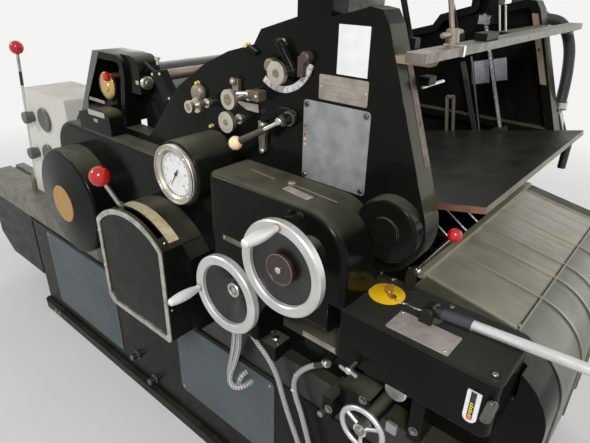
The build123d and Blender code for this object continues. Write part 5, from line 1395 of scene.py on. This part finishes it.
BACKGROUND = (0.90, 0.90, 0.89, 1)


def background_rays(tree):
    """Factor that is one for the rays that see the background: camera, glossy and transmission rays."""
    path = tree.nodes.new("ShaderNodeLightPath")
    total = path.outputs["Is Camera Ray"]
    for name in ("Is Glossy Ray", "Is Transmission Ray"):
        highest = tree.nodes.new("ShaderNodeMath")
        highest.operation = "MAXIMUM"
        tree.links.new(total, highest.inputs[0])
        tree.links.new(path.outputs[name], highest.inputs[1])
        total = highest.outputs[0]
    return total


def stage():
    """Plain pale floor that takes the object's shadow and turns into the pale background farther out."""
    data = bpy.data.meshes.new("floor")
    edge = 14.0
    data.from_pydata([(-edge, -edge, 0), (edge, -edge, 0), (edge, edge, 0), (-edge, edge, 0)], [],
            [(0, 1, 2, 3)])
    floor = bpy.data.objects.new("floor", data)
    bpy.context.scene.collection.objects.link(floor)
    finish = Finish("floor", 0.7)
    finish.colour(finish.mottled((1.2, 5), 0.3, 0.7, (0.78, 0.77, 0.75), (0.74, 0.73, 0.71)))
    away = finish.node("ShaderNodeVectorMath", {"operation": "LENGTH"}, Vector=finish.place).outputs["Value"]
    shadow_reach = 2.0
    all_pale = 5.0
    paleness = finish.between(away, shadow_reach, all_pale)
    seen = finish.math("MULTIPLY", background_rays(finish.tree), paleness)
    glow = finish.node("ShaderNodeEmission", Color=BACKGROUND, Strength=1.0)
    mix = finish.node("ShaderNodeMixShader")
    finish.feed(mix.inputs[0], seen)
    finish.feed(mix.inputs[1], finish.shader.outputs[0])
    finish.feed(mix.inputs[2], glow.outputs[0])
    finish.feed(finish.tree.nodes["Material Output"].inputs["Surface"], mix.outputs[0])
    data.materials.append(finish.material)


def lights():
    """Pale even world light and four soft lamps."""
    world_strength = 0.33
    world = bpy.data.worlds.new("world")
    bpy.context.scene.world = world
    world.use_nodes = True
    tree = world.node_tree
    light = tree.nodes["Background"]
    light.inputs["Color"].default_value = (0.86, 0.88, 0.90, 1)
    light.inputs["Strength"].default_value = world_strength
    shown = tree.nodes.new("ShaderNodeBackground")
    shown.inputs["Color"].default_value = BACKGROUND
    shown.inputs["Strength"].default_value = 1.0
    mix = tree.nodes.new("ShaderNodeMixShader")
    tree.links.new(background_rays(tree), mix.inputs[0])
    tree.links.new(light.outputs[0], mix.inputs[1])
    tree.links.new(shown.outputs[0], mix.inputs[2])
    tree.links.new(mix.outputs[0], tree.nodes["World Output"].inputs["Surface"])
    for name, place, target, size, power in (("key", (2.6, -3.2, 3.8), (0.3, 0, 0.9), 1.0, 150),
            ("side", (-3.2, -2.8, 3.4), (0, 0, 0.9), 1.2, 60),
            ("left_back", (-3.4, 3.6, 3.6), (0.4, -0.4, 1.1), 4.6, 70),
            ("right_back", (3.6, 3.4, 2.2), (0.8, -0.4, 1.3), 3.4, 45)):
        data = bpy.data.lights.new(name, "AREA")
        data.size = size
        data.energy = power
        lamp = bpy.data.objects.new(name, data)
        bpy.context.scene.collection.objects.link(lamp)
        lamp.location = place
        lamp.visible_camera = False
        aim = Vector(target) - Vector(place)
        lamp.rotation_euler = aim.to_track_quat("-Z", "Y").to_euler()


stage()
lights()
bpy.context.scene.view_settings.view_transform = "Standard"
